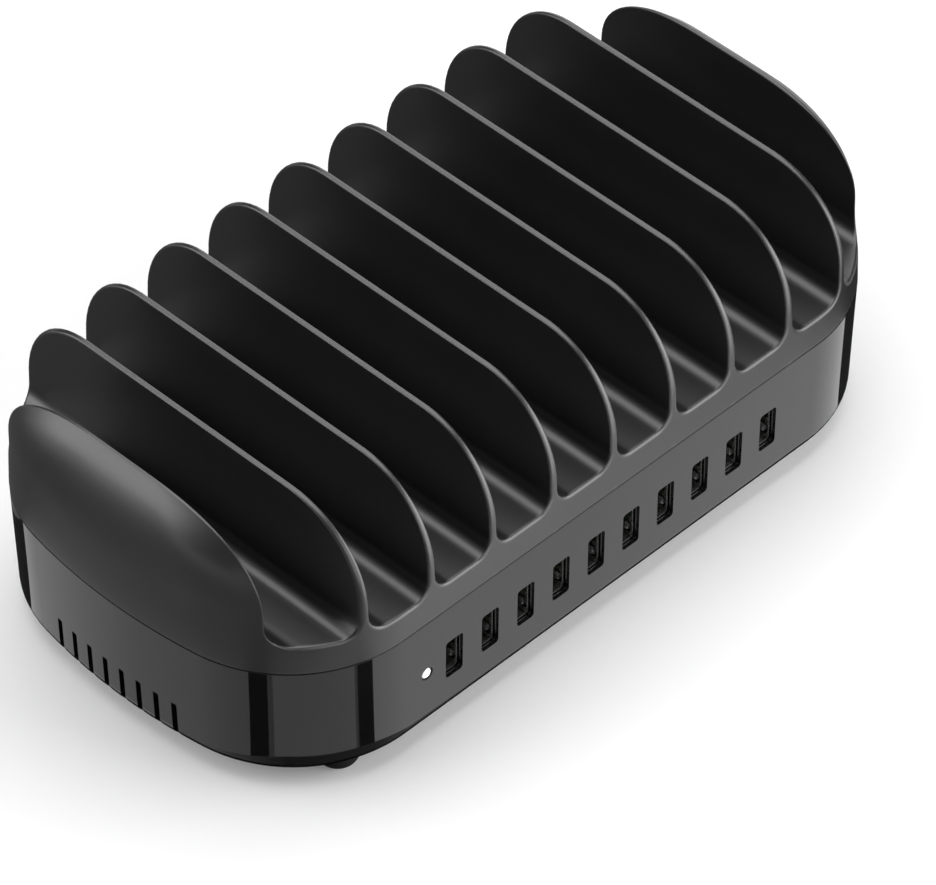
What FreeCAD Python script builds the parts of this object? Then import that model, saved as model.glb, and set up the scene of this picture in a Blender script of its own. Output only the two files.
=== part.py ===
"""Desk charging station: ten device slots over a housing with ten upright USB-A sockets.

Millimetres, +Z up, sockets towards -Y, origin on the ground under the middle of the housing.
"""

import FreeCAD
import Part
import math
import os

from FreeCAD import Vector

# Device slots
SLOT_COUNT = 10
SLOT_PITCH = 24.02
SLOT_DEPTH = 37.0
SLOT_CORNER = 5.5
DIVIDER_TOP = 1.9
DIVIDER_BASE = 3.0

# Outline of the housing and cover
END_REACH = 10.2
DEPTH = 139.4
BASE_HEIGHT = 41.1
COVER_HEIGHT = 46.9
CORNER_RADIUS = 44.4
END_BOW = 194.0
END_DRAFT = 1.4
FRONT_DRAFT = 0.6
BOTTOM_ROUND = 5.0
WALL = 2.5
FLOOR = 2.5
ROOF = 2.5

# Rounded shoulder of the cover
SHOULDER_HEIGHT = 28.3
FRONT_SHOULDER = 27.0
BACK_SHOULDER = 23.2
END_SHOULDER = 12.7
COVER_LEAN = 0.5
TOP_CORNER_RADIUS = 36.7
TOP_END_BOW = 2000.0
SHOULDER_STEPS = 6

# Seam between cover and housing
SEAM_GROOVE = 0.5
LIP_HEIGHT = 3.0
LIP_WALL = 1.4
LIP_CLEARANCE = 0.2

# Feet
FOOT_HEIGHT = 5.3
FOOT_RADIUS = 6.3
FOOT_ROUND = 2.6
FOOT_INSET_X = 33.5
FOOT_INSET_Y = 13.6
FOOT_BOSS_MARGIN = 0.5

# Sockets
PORT_COUNT = 10
PORT_PITCH = 14.2
PORT_HEIGHT = 20.7
PORT_GAP = 0.5
PORT_CORNER = 1.1
SHELL_WIDTH = 5.7
SHELL_TALL = 13.1
SHELL_LONG = 13.9
SHELL_WALL = 0.35
SHELL_RECESS = 1.9
TONGUE_RECESS = 2.0
TONGUE_THICK = 1.84
TONGUE_END_GAP = 0.65
TONGUE_SIDE_GAP = 0.9
TONGUE_BLOCK = 4.0
CONTACT_COUNT = 4
CONTACT_PITCH = 2.4
CONTACT_WIDE = 1.0
CONTACT_THICK = 0.25
CONTACT_SETBACK = 0.9

# Status light
LIGHT_OFFSET = 10.7
LIGHT_RISE = 0.5
LIGHT_RADIUS = 1.65
LIGHT_CLEARANCE = 0.1
LIGHT_RING = 2.2
LIGHT_RING_DEEP = 0.4
LIGHT_FLANGE_RADIUS = 2.7
LIGHT_SEAT = 0.2
LIGHT_FLANGE_THICK = 1.2
LIGHT_TAIL = 1.5
LED_WIDTH = 3.4
LED_NOSE_RADIUS = 1.5
LED_NOSE = 1.6
LED_GAP = 0.2

# End vents
VENT_COUNT = 8
VENT_PITCH = 6.63
VENT_WIDTH = 2.0
VENT_TOP = 14.9

# Circuit boards
BOARD_THICK = 1.6
USB_BOARD_DEEP = 36.0
USB_BOARD_SIDE = 18.0
USB_BOARD_GAP = 1.0
PSU_POST = 6.0
PSU_BOARD_GAP = 5.5
PSU_REAR_GAP = 15.8
PSU_BOARD_SIDE = 3.0
POST_RADIUS = 3.5
POST_SCREW_INSET = 6.0
SHEET_THICK = 0.4
SHEET_CLEARANCE = 0.3

# Screws
SCREW_RADIUS = 1.45
SCREW_CLEARANCE = 0.05
SCREW_HEAD_RADIUS = 2.8
SCREW_HEAD = 2.0
BOARD_SCREW_LONG = 5.0
CASE_SCREW_INSET_X = 22.4
CASE_SCREW_INSET_Y = 35.7
CASE_BOSS_RADIUS = 5.0
CASE_SCREW_SEAT = 8.0
CASE_SCREW_BITE = 6.0
CASE_RECESS_RADIUS = 3.2

# Power supply pieces
CORE_X = 40.0
CORE_Y = 14.0
CORE_HEADROOM = 4.4
CORE_LEG = 11.0
CORE_YOKE = 6.0
CORE_SIDE = 7.0
WINDING_GAP = 0.2
WINDING_Y = 30.0
BULK_RADIUS = 10.5
BULK_HEADROOM = 7.4
BULK_PITCH = 23.5
OUTPUT_RADIUS = 5.0
OUTPUT_TALL = 20.0
OUTPUT_COUNT = 4
OUTPUT_PITCH = 12.5
CHOKE_RADIUS = 11.0
CHOKE_BORE = 5.0
CHOKE_TALL = 12.0
FILTER_X = 26.0
FILTER_Y = 10.0
FILTER_Z = 19.0
FILTER_GAP = 2.0
BRIDGE_X = 3.5
BRIDGE_Y = 20.0
BRIDGE_Z = 15.0
BRIDGE_GAP = 1.5
HEATSINK_X = 46.0
HEATSINK_HEADROOM = 8.4
HEATSINK_THICK = 2.5
HEATSINK_FOOT = 6.0
FUSE_GAP = 1.5
FUSE_RADIUS = 4.2
FUSE_TALL = 8.0

# Places on the power supply board: along its length, and in rows behind its front edge
CHOKE_X = -77.0
BULK_X = -39.5
TRANSFORMER_X = 11.0
OUTPUT_X = 61.0
HEATSINK_SPACING = 50.0
CHOKE_ROW = 13.0
BULK_ROW = 14.0
TRANSFORMER_ROW = 17.0
OUTPUT_ROW = 17.0
HEATSINK_ROW = 39.0
FUSE_ROW = 17.0

# Rear panel with the mains inlet and the switch
REAR_RECESS = 5.5
REAR_MARGIN = 4.0
INLET_X = -57.0
INLET_WIDE = 18.0
INLET_TALL = 11.0
INLET_LONG = 16.0
INLET_FLANGE = 2.0
FLANGE_THICK = 1.6
INLET_MOUTH_WIDE = 14.0
INLET_MOUTH_TALL = 8.0
INLET_MOUTH_DEEP = 13.5
PIN_RADIUS = 1.18
PIN_PITCH = 8.6
PIN_SETBACK = 2.5
PIN_TAIL = 4.0
PANEL_CLEARANCE = 0.1

# Rocker switch
SWITCH_SPACING = 36.0
ROCKER_ANGLE = 9.0
ROCKER_SWING = 8.56
ROCKER_RIDGE = 3.2
ROCKER_BACK = 2.2
ROCKER_TALL = 11.6
ROCKER_GAP = 0.34
PIVOT_DEEP = 3.0
PIVOT_RADIUS = 1.0
PIVOT_LONG = 0.9
PIVOT_CLEARANCE = 0.05
SWITCH_WALL = 1.4
SWITCH_FLANGE = 1.0
SWITCH_DEEP = 13.0
SWITCH_CAVITY = 6.0
TERMINAL_WIDE = 4.8
TERMINAL_THICK = 0.8
TERMINAL_LONG = 6.0
TERMINAL_PITCH = 10.0

# Inner wires
LEAD_RADIUS = 1.2
AC_LEAD_BEND = 4.5
DC_LEAD_COUNT = 4
DC_LEAD_PITCH = 6.0
DC_LEAD_RISE = 6.0
LEAD_EDGE = 4.0

# Levels and half sizes that follow from the above
LENGTH = SLOT_COUNT * SLOT_PITCH + 2 * END_REACH
HALF_LENGTH = LENGTH / 2
HALF_DEPTH = DEPTH / 2
BASE_Z = FOOT_HEIGHT
FLOOR_Z = BASE_Z + FLOOR
SEAM_Z = BASE_Z + BASE_HEIGHT
TOP_Z = SEAM_Z + COVER_HEIGHT
SLOT_FLOOR_Z = TOP_Z - SLOT_DEPTH
ROOF_Z = SLOT_FLOOR_Z - ROOF
PORT_Z = BASE_Z + PORT_HEIGHT
ROW_HALF = PORT_PITCH * (PORT_COUNT - 1) / 2
FAR = 2 * LENGTH


def block(x, y, z):
    """A box from its three ranges."""
    return Part.makeBox(x[1] - x[0], y[1] - y[0], z[1] - z[0], Vector(x[0], y[0], z[0]))


def span(centre, size):
    """The range of that size about a centre."""
    return (centre - size / 2, centre + size / 2)


def upright(x, y, z, radius):
    """A cylinder along Z over the range z."""
    return Part.makeCylinder(radius, z[1] - z[0], Vector(x, y, z[0]))


def along_y(x, y, z, radius):
    """A cylinder along Y over the range y."""
    return Part.makeCylinder(radius, y[1] - y[0], Vector(x, y[0], z), Vector(0, 1, 0))


def joined(shapes):
    """The union of several shapes, as one clean solid."""
    return shapes[0].fuse(shapes[1:]).removeSplitter()


def round_edges(solid, radius, wanted):
    """The solid with the edges that wanted() picks rounded."""
    return solid.makeFillet(radius, [edge for edge in solid.Edges if wanted(edge)])


def runs_along(edge, axis):
    """True for a straight edge along that axis."""
    if not isinstance(edge.Curve, (Part.Line, Part.LineSegment)):
        return False
    direction = edge.tangentAt(edge.FirstParameter)
    return abs(abs(direction.dot(axis)) - 1) < 1e-6


def plan_arc(centre_x, centre_y, radius, start, end, z):
    """An arc in plan between two angles."""

    def point(angle):
        return Vector(centre_x + radius * math.cos(angle), centre_y + radius * math.sin(angle), z)

    return Part.Arc(point(start), point((start + end) / 2), point(end)).toShape()


def plan_wire(half_length, half_depth, corner, bow, z):
    """The rounded outline at one height: straight front and back, round corners, bowed ends."""
    corner = min(corner, 0.9 * half_depth)
    corner_y = half_depth - corner
    bow_x = half_length - bow
    corner_x = bow_x + math.sqrt((bow - corner) ** 2 - corner_y**2)
    turn = math.atan2(corner_y, corner_x - bow_x)
    quarter = math.pi / 2
    front = Part.LineSegment(Vector(-corner_x, -half_depth, z), Vector(corner_x, -half_depth, z))
    back = Part.LineSegment(Vector(corner_x, half_depth, z), Vector(-corner_x, half_depth, z))
    return Part.Wire(
        [
            front.toShape(),
            plan_arc(corner_x, -corner_y, corner, -quarter, -turn, z),
            plan_arc(bow_x, 0, bow, -turn, turn, z),
            plan_arc(corner_x, corner_y, corner, turn, quarter, z),
            back.toShape(),
            plan_arc(-corner_x, corner_y, corner, quarter, math.pi - turn, z),
            plan_arc(-bow_x, 0, bow, math.pi - turn, math.pi + turn, z),
            plan_arc(-corner_x, -corner_y, corner, math.pi + turn, 3 * quarter, z),
        ]
    )


def base_half(z):
    """Half length and half depth of the housing's outside at a height."""
    drop = (SEAM_Z - z) / BASE_HEIGHT
    return HALF_LENGTH - END_DRAFT * drop, HALF_DEPTH - FRONT_DRAFT * drop


def base_wire(z, inset):
    """The housing's outline at a height, moved in by inset."""
    half_length, half_depth = base_half(z)
    return plan_wire(half_length - inset, half_depth - inset, CORNER_RADIUS - inset, END_BOW, z)


def cover_envelope(inset, drop):
    """The cover as a solid lump, moved in by inset and lowered by drop at its top."""
    half_length = HALF_LENGTH - inset
    half_depth = HALF_DEPTH - inset
    corner = CORNER_RADIUS - inset
    shoulder_z = TOP_Z - SHOULDER_HEIGHT
    middle_z = (SEAM_Z + shoulder_z) / 2
    lean = COVER_LEAN / 2
    wires = [
        plan_wire(half_length, half_depth, corner, END_BOW, SEAM_Z),
        plan_wire(half_length - lean, half_depth - lean, corner, END_BOW, middle_z),
    ]
    for step in range(SHOULDER_STEPS + 1):
        angle = math.pi / 2 * step / SHOULDER_STEPS
        share = 1 - math.cos(angle)
        outline = plan_wire(
            half_length - COVER_LEAN - END_SHOULDER * share,
            half_depth - COVER_LEAN - (FRONT_SHOULDER + BACK_SHOULDER) / 2 * share,
            corner - (CORNER_RADIUS - TOP_CORNER_RADIUS) * share,
            END_BOW + (TOP_END_BOW - END_BOW) * share,
            shoulder_z + (SHOULDER_HEIGHT - drop) * math.sin(angle),
        )
        outline.translate(Vector(0, (FRONT_SHOULDER - BACK_SHOULDER) / 2 * share, 0))
        wires.append(outline)
    return Part.makeLoft(wires, True, False)


def slot_channel(index):
    """The U-shaped space of one device slot, longer than the cover and open at the top."""
    centre = (index - (SLOT_COUNT - 1) / 2) * SLOT_PITCH
    half_base = (SLOT_PITCH - DIVIDER_BASE) / 2
    half_top = (SLOT_PITCH - DIVIDER_TOP) / 2
    spread = half_top + (half_top - half_base)
    high = TOP_Z + SLOT_DEPTH
    corners = [
        Vector(centre - half_base, -DEPTH, SLOT_FLOOR_Z),
        Vector(centre + half_base, -DEPTH, SLOT_FLOOR_Z),
        Vector(centre + spread, -DEPTH, high),
        Vector(centre - spread, -DEPTH, high),
    ]
    channel = Part.Face(Part.makePolygon(corners + corners[:1])).extrude(Vector(0, 2 * DEPTH, 0))

    def on_floor(edge):
        return runs_along(edge, Vector(0, 1, 0)) and abs(edge.CenterOfMass.z - SLOT_FLOOR_Z) < 1e-6

    return round_edges(channel, SLOT_CORNER, on_floor)


def case_screw_places():
    """Plan positions of the four screws that hold the cover to the housing."""
    x = HALF_LENGTH - CASE_SCREW_INSET_X
    y = HALF_DEPTH - CASE_SCREW_INSET_Y
    return [(-x, -y), (x, -y), (-x, y), (x, y)]


def foot_places():
    """Plan positions of the four feet by name."""
    x = HALF_LENGTH - FOOT_INSET_X
    y = HALF_DEPTH - FOOT_INSET_Y
    return {
        "foot_front_left": (-x, -y),
        "foot_front_right": (x, -y),
        "foot_rear_left": (-x, y),
        "foot_rear_right": (x, y),
    }


def top_cover():
    """One moulding: rounded lump, slots cut through it, hollow underneath, lip and screw bosses."""
    channels = [slot_channel(index) for index in range(SLOT_COUNT)]
    cover = cover_envelope(0, 0).cut(channels)
    last_wall = SLOT_PITCH * SLOT_COUNT / 2 + WALL
    under_slots = block((-FAR, FAR), (-FAR, FAR), (SEAM_Z - 1, ROOF_Z))
    left_end = block((-FAR, -last_wall), (-FAR, FAR), (SEAM_Z - 1, TOP_Z))
    right_end = block((last_wall, FAR), (-FAR, FAR), (SEAM_Z - 1, TOP_Z))
    hollow = cover_envelope(WALL, ROOF).common(under_slots.fuse([left_end, right_end]))
    cover = cover.cut(hollow)
    groove_outside = Part.Face(plan_wire(HALF_LENGTH + 1, HALF_DEPTH + 1, CORNER_RADIUS + 1, END_BOW, SEAM_Z))
    groove_inside = Part.Face(
        plan_wire(
            HALF_LENGTH - SEAM_GROOVE,
            HALF_DEPTH - SEAM_GROOVE,
            CORNER_RADIUS - SEAM_GROOVE,
            END_BOW,
            SEAM_Z,
        )
    )
    cover = cover.cut(groove_outside.cut(groove_inside).extrude(Vector(0, 0, SEAM_GROOVE)))
    added = []
    lip_inset = WALL + LIP_CLEARANCE
    lip_foot = SEAM_Z - LIP_HEIGHT
    lip_rise = Vector(0, 0, LIP_HEIGHT + SEAM_GROOVE)
    lip_outside = Part.Face(base_wire(lip_foot, lip_inset)).extrude(lip_rise)
    lip_inside = Part.Face(base_wire(lip_foot, lip_inset + LIP_WALL)).extrude(lip_rise)
    added.append(lip_outside.cut(lip_inside))
    ledge_rise = Vector(0, 0, ROOF)
    ledge_outside = Part.Face(base_wire(SEAM_Z, SEAM_GROOVE)).extrude(ledge_rise)
    ledge_inside = Part.Face(base_wire(SEAM_Z, lip_inset + LIP_WALL)).extrude(ledge_rise)
    added.append(ledge_outside.cut(ledge_inside).common(cover_envelope(SEAM_GROOVE, 0)))
    for x, y in case_screw_places():
        added.append(upright(x, y, (SEAM_Z, ROOF_Z + ROOF / 2), CASE_BOSS_RADIUS))
    cover = joined([cover] + added)
    pilot_top = SEAM_Z + CASE_SCREW_BITE + SCREW_CLEARANCE
    pilots = [
        upright(x, y, (SEAM_Z, pilot_top), SCREW_RADIUS + SCREW_CLEARANCE)
        for x, y in case_screw_places()
    ]
    return cover.cut(pilots)


def usb_board_z():
    """Range of the socket board's thickness: the socket shells stand on its top."""
    top = PORT_Z - SHELL_TALL / 2
    return (top - BOARD_THICK, top)


def usb_board_range():
    """Plan ranges of the socket board, just behind the front wall."""
    half = ROW_HALF + USB_BOARD_SIDE
    front = -base_half(PORT_Z)[1] + WALL + USB_BOARD_GAP
    return (-half, half), (front, front + USB_BOARD_DEEP)


def usb_post_places():
    """Plan positions of the socket board's screws."""
    (left, right), (front, back) = usb_board_range()
    inner = (right - left) / 6
    row_y = back - POST_SCREW_INSET
    side_y = (front + back) / 2
    side = POST_SCREW_INSET
    return [(left + side, side_y), (right - side, side_y), (-inner, row_y), (inner, row_y)]


def psu_board_z():
    """Range of the power supply board's thickness, on its posts."""
    low = FLOOR_Z + PSU_POST
    return (low, low + BOARD_THICK)


def psu_board_range():
    """Plan ranges of the power supply board, between the socket board, the rear panel and the bosses."""
    half = HALF_LENGTH - CASE_SCREW_INSET_X - CASE_BOSS_RADIUS - PSU_BOARD_SIDE
    front = usb_board_range()[1][1] + PSU_BOARD_GAP
    return (-half, half), (front, rear_panel_y()[0] - PSU_REAR_GAP)


def psu_post_places():
    """Plan positions of the power supply board's screws."""
    (left, right), (front, back) = psu_board_range()
    inset = POST_SCREW_INSET
    return [(x, y) for x in (left + inset, right - inset) for y in (front + inset, back - inset)]


def rear_panel_y():
    """Range of the recessed rear panel's thickness."""
    outer = base_half(PORT_Z)[1] - REAR_RECESS
    return (outer - WALL, outer)


def switch_x():
    """Middle of the rocker switch."""
    return INLET_X + SWITCH_SPACING


def switch_body_half():
    """Half width and half height of the switch body, around the rocker's swing."""
    return ROCKER_SWING + ROCKER_GAP + SWITCH_WALL, ROCKER_TALL / 2 + ROCKER_GAP + SWITCH_WALL


def rear_recess_range():
    """Width and height of the recess that holds the inlet and the switch."""
    half_wide, half_tall = switch_body_half()
    left = INLET_X - INLET_WIDE / 2 - INLET_FLANGE - REAR_MARGIN
    right = switch_x() + half_wide + SWITCH_FLANGE + REAR_MARGIN
    reach = max(half_tall + SWITCH_FLANGE, INLET_TALL / 2 + INLET_FLANGE) + REAR_MARGIN
    return (left, right), (PORT_Z - reach, PORT_Z + reach)


def port_x(index):
    """Middle of one socket."""
    return index * PORT_PITCH - ROW_HALF


def light_x():
    """Middle of the status light, left of the first socket."""
    return -ROW_HALF - LIGHT_OFFSET


def base_cuts():
    """Everything that is cut out of the housing's walls and floor."""
    front = -base_half(PORT_Z)[1]
    through = (front - 2 * WALL, front + 2 * WALL)
    cuts = []
    for index in range(PORT_COUNT):
        wide = SHELL_WIDTH + 2 * PORT_GAP
        tall = SHELL_TALL + 2 * PORT_GAP
        hole = block(span(port_x(index), wide), through, span(PORT_Z, tall))
        cuts.append(round_edges(hole, PORT_CORNER, lambda edge: runs_along(edge, Vector(0, 1, 0))))
    light_z = PORT_Z + LIGHT_RISE
    cuts.append(along_y(light_x(), through, light_z, LIGHT_RADIUS + LIGHT_CLEARANCE))
    cuts.append(along_y(light_x(), (through[0], front + LIGHT_RING_DEEP), light_z, LIGHT_RING))
    seat_y = (front + WALL - LIGHT_SEAT, through[1])
    cuts.append(along_y(light_x(), seat_y, light_z, LIGHT_FLANGE_RADIUS + LIGHT_CLEARANCE))
    for index in range(VENT_COUNT):
        y = (index - (VENT_COUNT - 1) / 2) * VENT_PITCH
        z = (BASE_Z + FLOOR / 2, BASE_Z + VENT_TOP)
        reach = HALF_LENGTH - END_DRAFT - 2 * WALL
        cuts.append(block((-FAR, -reach), span(y, VENT_WIDTH), z))
        cuts.append(block((reach, FAR), span(y, VENT_WIDTH), z))
    panel_y = rear_panel_y()
    gap = 2 * PANEL_CLEARANCE
    inlet_hole = block(span(INLET_X, INLET_WIDE + gap), panel_y, span(PORT_Z, INLET_TALL + gap))
    half_wide, half_tall = switch_body_half()
    switch_hole = block(
        span(switch_x(), 2 * half_wide + gap), panel_y, span(PORT_Z, 2 * half_tall + gap)
    )
    cuts += [inlet_hole, switch_hole]
    for x, y in case_screw_places():
        cuts.append(upright(x, y, (BASE_Z, SEAM_Z), SCREW_RADIUS + 4 * SCREW_CLEARANCE))
        cuts.append(upright(x, y, (BASE_Z, SEAM_Z - CASE_SCREW_SEAT), CASE_RECESS_RADIUS))
    screw_bore = SCREW_RADIUS + SCREW_CLEARANCE
    bite = BOARD_SCREW_LONG - BOARD_THICK + SCREW_CLEARANCE
    for x, y in usb_post_places():
        cuts.append(upright(x, y, (usb_board_z()[0] - bite, usb_board_z()[0]), screw_bore))
    for x, y in psu_post_places():
        cuts.append(upright(x, y, (psu_board_z()[0] - bite, psu_board_z()[0]), screw_bore))
    return cuts


def lower_housing():
    """The tub: drafted walls, rounded bottom edge, posts, bosses, holes and the recessed rear panel."""
    outside = Part.makeLoft([base_wire(BASE_Z, 0), base_wire(SEAM_Z, 0)], True, True)
    outside = round_edges(outside, BOTTOM_ROUND, lambda edge: edge.BoundBox.ZMax < BASE_Z + 1e-6)
    inside = Part.makeLoft([base_wire(FLOOR_Z, WALL), base_wire(SEAM_Z, WALL)], True, True)
    (left, right), (low, high) = rear_recess_range()
    panel_y = rear_panel_y()
    surround = block((left - WALL, right + WALL), (panel_y[0], FAR), (low - WALL, high + WALL))
    recess = block((left, right), (panel_y[1], FAR), (low, high))
    added = [surround.common(outside)]
    for x, y in usb_post_places():
        added.append(upright(x, y, (FLOOR_Z - FLOOR / 2, usb_board_z()[0]), POST_RADIUS))
    for x, y in psu_post_places():
        added.append(upright(x, y, (FLOOR_Z - FLOOR / 2, psu_board_z()[0]), POST_RADIUS))
    for x, y in case_screw_places():
        added.append(upright(x, y, (FLOOR_Z - FLOOR / 2, SEAM_Z), CASE_BOSS_RADIUS))
    for x, y in foot_places().values():
        added.append(upright(x, y, (BASE_Z, FLOOR_Z), FOOT_RADIUS + FOOT_BOSS_MARGIN))
    tub = joined([outside.cut(inside)] + added)
    return tub.cut([recess] + base_cuts())


def foot(x, y):
    """A domed rubber foot, flat on top where it is stuck to its boss and flat where it stands."""
    disc = upright(x, y, (0, FOOT_HEIGHT), FOOT_RADIUS)
    return round_edges(disc, FOOT_ROUND, lambda edge: edge.BoundBox.ZMax < 1e-6)


def led_light_pipe():
    """Clear rod with a domed front, held by a flange behind the front wall."""
    front = -base_half(PORT_Z)[1]
    inner = front + WALL - LIGHT_SEAT
    z = PORT_Z + LIGHT_RISE
    rod = along_y(light_x(), (front, inner + LIGHT_FLANGE_THICK + LIGHT_TAIL), z, LIGHT_RADIUS)
    rod = round_edges(rod, LIGHT_RADIUS / 2, lambda edge: edge.BoundBox.YMax < front + 1e-6)
    flange = along_y(light_x(), (inner, inner + LIGHT_FLANGE_THICK), z, LIGHT_FLANGE_RADIUS)
    return joined([rod, flange])


def status_led():
    """Tall light source on the socket board, nose against the light pipe."""
    tail = -base_half(PORT_Z)[1] + WALL - LIGHT_SEAT + LIGHT_FLANGE_THICK + LIGHT_TAIL
    nose_y = (tail + LED_GAP, tail + LED_GAP + LED_NOSE)
    z = PORT_Z + LIGHT_RISE
    nose = along_y(light_x(), nose_y, z, LED_NOSE_RADIUS)
    body = block(
        span(light_x(), LED_WIDTH), (nose_y[1], nose_y[1] + LED_WIDTH), (usb_board_z()[1], z + LED_WIDTH / 2)
    )
    return joined([nose, body])


def shell_front():
    """Where a socket shell starts, set back in its hole from the front face."""
    return -base_half(PORT_Z)[1] + SHELL_RECESS


def usb_shell(index):
    """Steel tube of one socket, open to the front, standing on edge on the board."""
    y = (shell_front(), shell_front() + SHELL_LONG)
    outside = block(span(port_x(index), SHELL_WIDTH), y, span(PORT_Z, SHELL_TALL))
    wall = 2 * SHELL_WALL
    return outside.cut(block(span(port_x(index), SHELL_WIDTH - wall), y, span(PORT_Z, SHELL_TALL - wall)))


def tongue_x(index):
    """Range of a tongue's thickness, nearer to the left wall of its shell."""
    left = port_x(index) - SHELL_WIDTH / 2 + SHELL_WALL + TONGUE_SIDE_GAP
    return (left, left + TONGUE_THICK)


def usb_tongue(index):
    """Plastic block that fills the back of the shell, with the tongue that carries the contacts."""
    back = shell_front() + SHELL_LONG
    wall = 2 * SHELL_WALL
    rear = block(
        span(port_x(index), SHELL_WIDTH - wall), (back - TONGUE_BLOCK, back), span(PORT_Z, SHELL_TALL - wall)
    )
    tip = shell_front() + TONGUE_RECESS
    tall = SHELL_TALL - 2 * (SHELL_WALL + TONGUE_END_GAP)
    return joined([rear, block(tongue_x(index), (tip, back - TONGUE_BLOCK), span(PORT_Z, tall))])


def usb_contacts(index):
    """The four contact strips on the right face of a tongue."""
    face = tongue_x(index)[1]
    tip = shell_front() + TONGUE_RECESS + CONTACT_SETBACK
    root = shell_front() + SHELL_LONG - TONGUE_BLOCK
    strips = []
    for strip in range(CONTACT_COUNT):
        z = PORT_Z + (strip - (CONTACT_COUNT - 1) / 2) * CONTACT_PITCH
        strips.append(block((face, face + CONTACT_THICK), (tip, root), span(z, CONTACT_WIDE)))
    return Part.Compound(strips)


def usb_board():
    """Socket board with its screw holes."""
    x, y = usb_board_range()
    z = usb_board_z()
    bore = SCREW_RADIUS + 2 * SCREW_CLEARANCE
    return block(x, y, z).cut([upright(px, py, z, bore) for px, py in usb_post_places()])


def psu_board():
    """Power supply board with its screw holes."""
    x, y = psu_board_range()
    z = psu_board_z()
    bore = SCREW_RADIUS + 2 * SCREW_CLEARANCE
    return block(x, y, z).cut([upright(px, py, z, bore) for px, py in psu_post_places()])


def insulation_sheet():
    """Thin sheet on the floor under the power supply board, cut out round the posts."""
    x, y = psu_board_range()
    z = (FLOOR_Z, FLOOR_Z + SHEET_THICK)
    bore = POST_RADIUS + SHEET_CLEARANCE
    return block(x, y, z).cut([upright(px, py, z, bore) for px, py in psu_post_places()])


def psu_front():
    """Front edge of the power supply board, from which its pieces are set out."""
    return psu_board_range()[1][0]


def psu_tall(headroom):
    """Range of a tall piece on the board, up to that far below the cover's roof."""
    return (psu_board_z()[1], ROOF_Z - headroom)


def transformer_core():
    """Ferrite frame with a middle leg, standing on the board."""
    y = psu_front() + TRANSFORMER_ROW
    low, high = psu_tall(CORE_HEADROOM)
    core = block(span(TRANSFORMER_X, CORE_X), span(y, CORE_Y), (low, high))
    window = (CORE_X - CORE_LEG) / 2 - CORE_SIDE
    offset = (CORE_LEG + window) / 2
    tall = (low + CORE_YOKE, high - CORE_YOKE)
    windows = [
        block(span(TRANSFORMER_X + side * offset, window), span(y, CORE_Y), tall) for side in (-1, 1)
    ]
    return core.cut(windows)


def transformer_winding():
    """Taped winding round the middle leg, filling the two windows."""
    y = psu_front() + TRANSFORMER_ROW
    low, high = psu_tall(CORE_HEADROOM)
    window = (CORE_X - CORE_LEG) / 2 - CORE_SIDE
    tall = (low + CORE_YOKE + WINDING_GAP, high - CORE_YOKE - WINDING_GAP)
    wide = CORE_LEG + 2 * window - 2 * WINDING_GAP
    coil = block(span(TRANSFORMER_X, wide), span(y, WINDING_Y), tall)
    bore = block(span(TRANSFORMER_X, CORE_LEG + 2 * WINDING_GAP), span(y, CORE_Y + 2 * WINDING_GAP), tall)
    coil = round_edges(coil, window / 2, lambda edge: runs_along(edge, Vector(0, 0, 1)))
    return coil.cut(bore)


def bulk_capacitors():
    """Two tall cans side by side on the mains side."""
    y = psu_front() + BULK_ROW
    return Part.Compound(
        [
            upright(BULK_X + side * BULK_PITCH / 2, y, psu_tall(BULK_HEADROOM), BULK_RADIUS)
            for side in (-1, 1)
        ]
    )


def output_capacitors():
    """A row of small cans on the low voltage side."""
    y = psu_front() + OUTPUT_ROW
    z = psu_board_z()[1]
    cans = []
    for index in range(OUTPUT_COUNT):
        x = OUTPUT_X + (index - (OUTPUT_COUNT - 1) / 2) * OUTPUT_PITCH
        cans.append(upright(x, y, (z, z + OUTPUT_TALL), OUTPUT_RADIUS))
    return Part.Compound(cans)


def common_mode_choke():
    """Ring choke lying on the board."""
    y = psu_front() + CHOKE_ROW
    z = (psu_board_z()[1], psu_board_z()[1] + CHOKE_TALL)
    return upright(CHOKE_X, y, z, CHOKE_RADIUS).cut(upright(CHOKE_X, y, z, CHOKE_BORE))


def x_capacitor():
    """Box film capacitor across the mains, behind the choke."""
    front = psu_front() + CHOKE_ROW + CHOKE_RADIUS + FILTER_GAP
    z = psu_board_z()[1]
    return block(span(CHOKE_X, FILTER_X), (front, front + FILTER_Y), (z, z + FILTER_Z))


def bridge_rectifier():
    """Flat rectifier standing between the tall cans and the transformer."""
    x = TRANSFORMER_X - CORE_X / 2 - BRIDGE_GAP
    z = psu_board_z()[1]
    return block((x - BRIDGE_X, x), span(psu_front() + TRANSFORMER_ROW, BRIDGE_Y), (z, z + BRIDGE_Z))


def heatsink(centre_x):
    """Upright aluminium plate behind the transformer row, with a foot bent along the board."""
    y = psu_front() + HEATSINK_ROW
    low, high = psu_tall(HEATSINK_HEADROOM)
    plate = block(span(centre_x, HEATSINK_X), (y, y + HEATSINK_THICK), (low, high))
    bent = block(span(centre_x, HEATSINK_X), (y - HEATSINK_FOOT, y), (low, low + HEATSINK_THICK))
    return joined([plate, bent])


def fuse():
    """Small upright fuse beside the choke."""
    x = CHOKE_X - CHOKE_RADIUS - FUSE_GAP - FUSE_RADIUS
    z = psu_board_z()[1]
    return upright(x, psu_front() + FUSE_ROW, (z, z + FUSE_TALL), FUSE_RADIUS)


def stadium(wide, tall, x, z, y):
    """A rounded-end bar along X with its section extruded over the range y."""
    bar = block(span(x, wide), y, span(z, tall))
    return round_edges(bar, tall / 2 - 0.01, lambda edge: runs_along(edge, Vector(0, 1, 0)))


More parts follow.
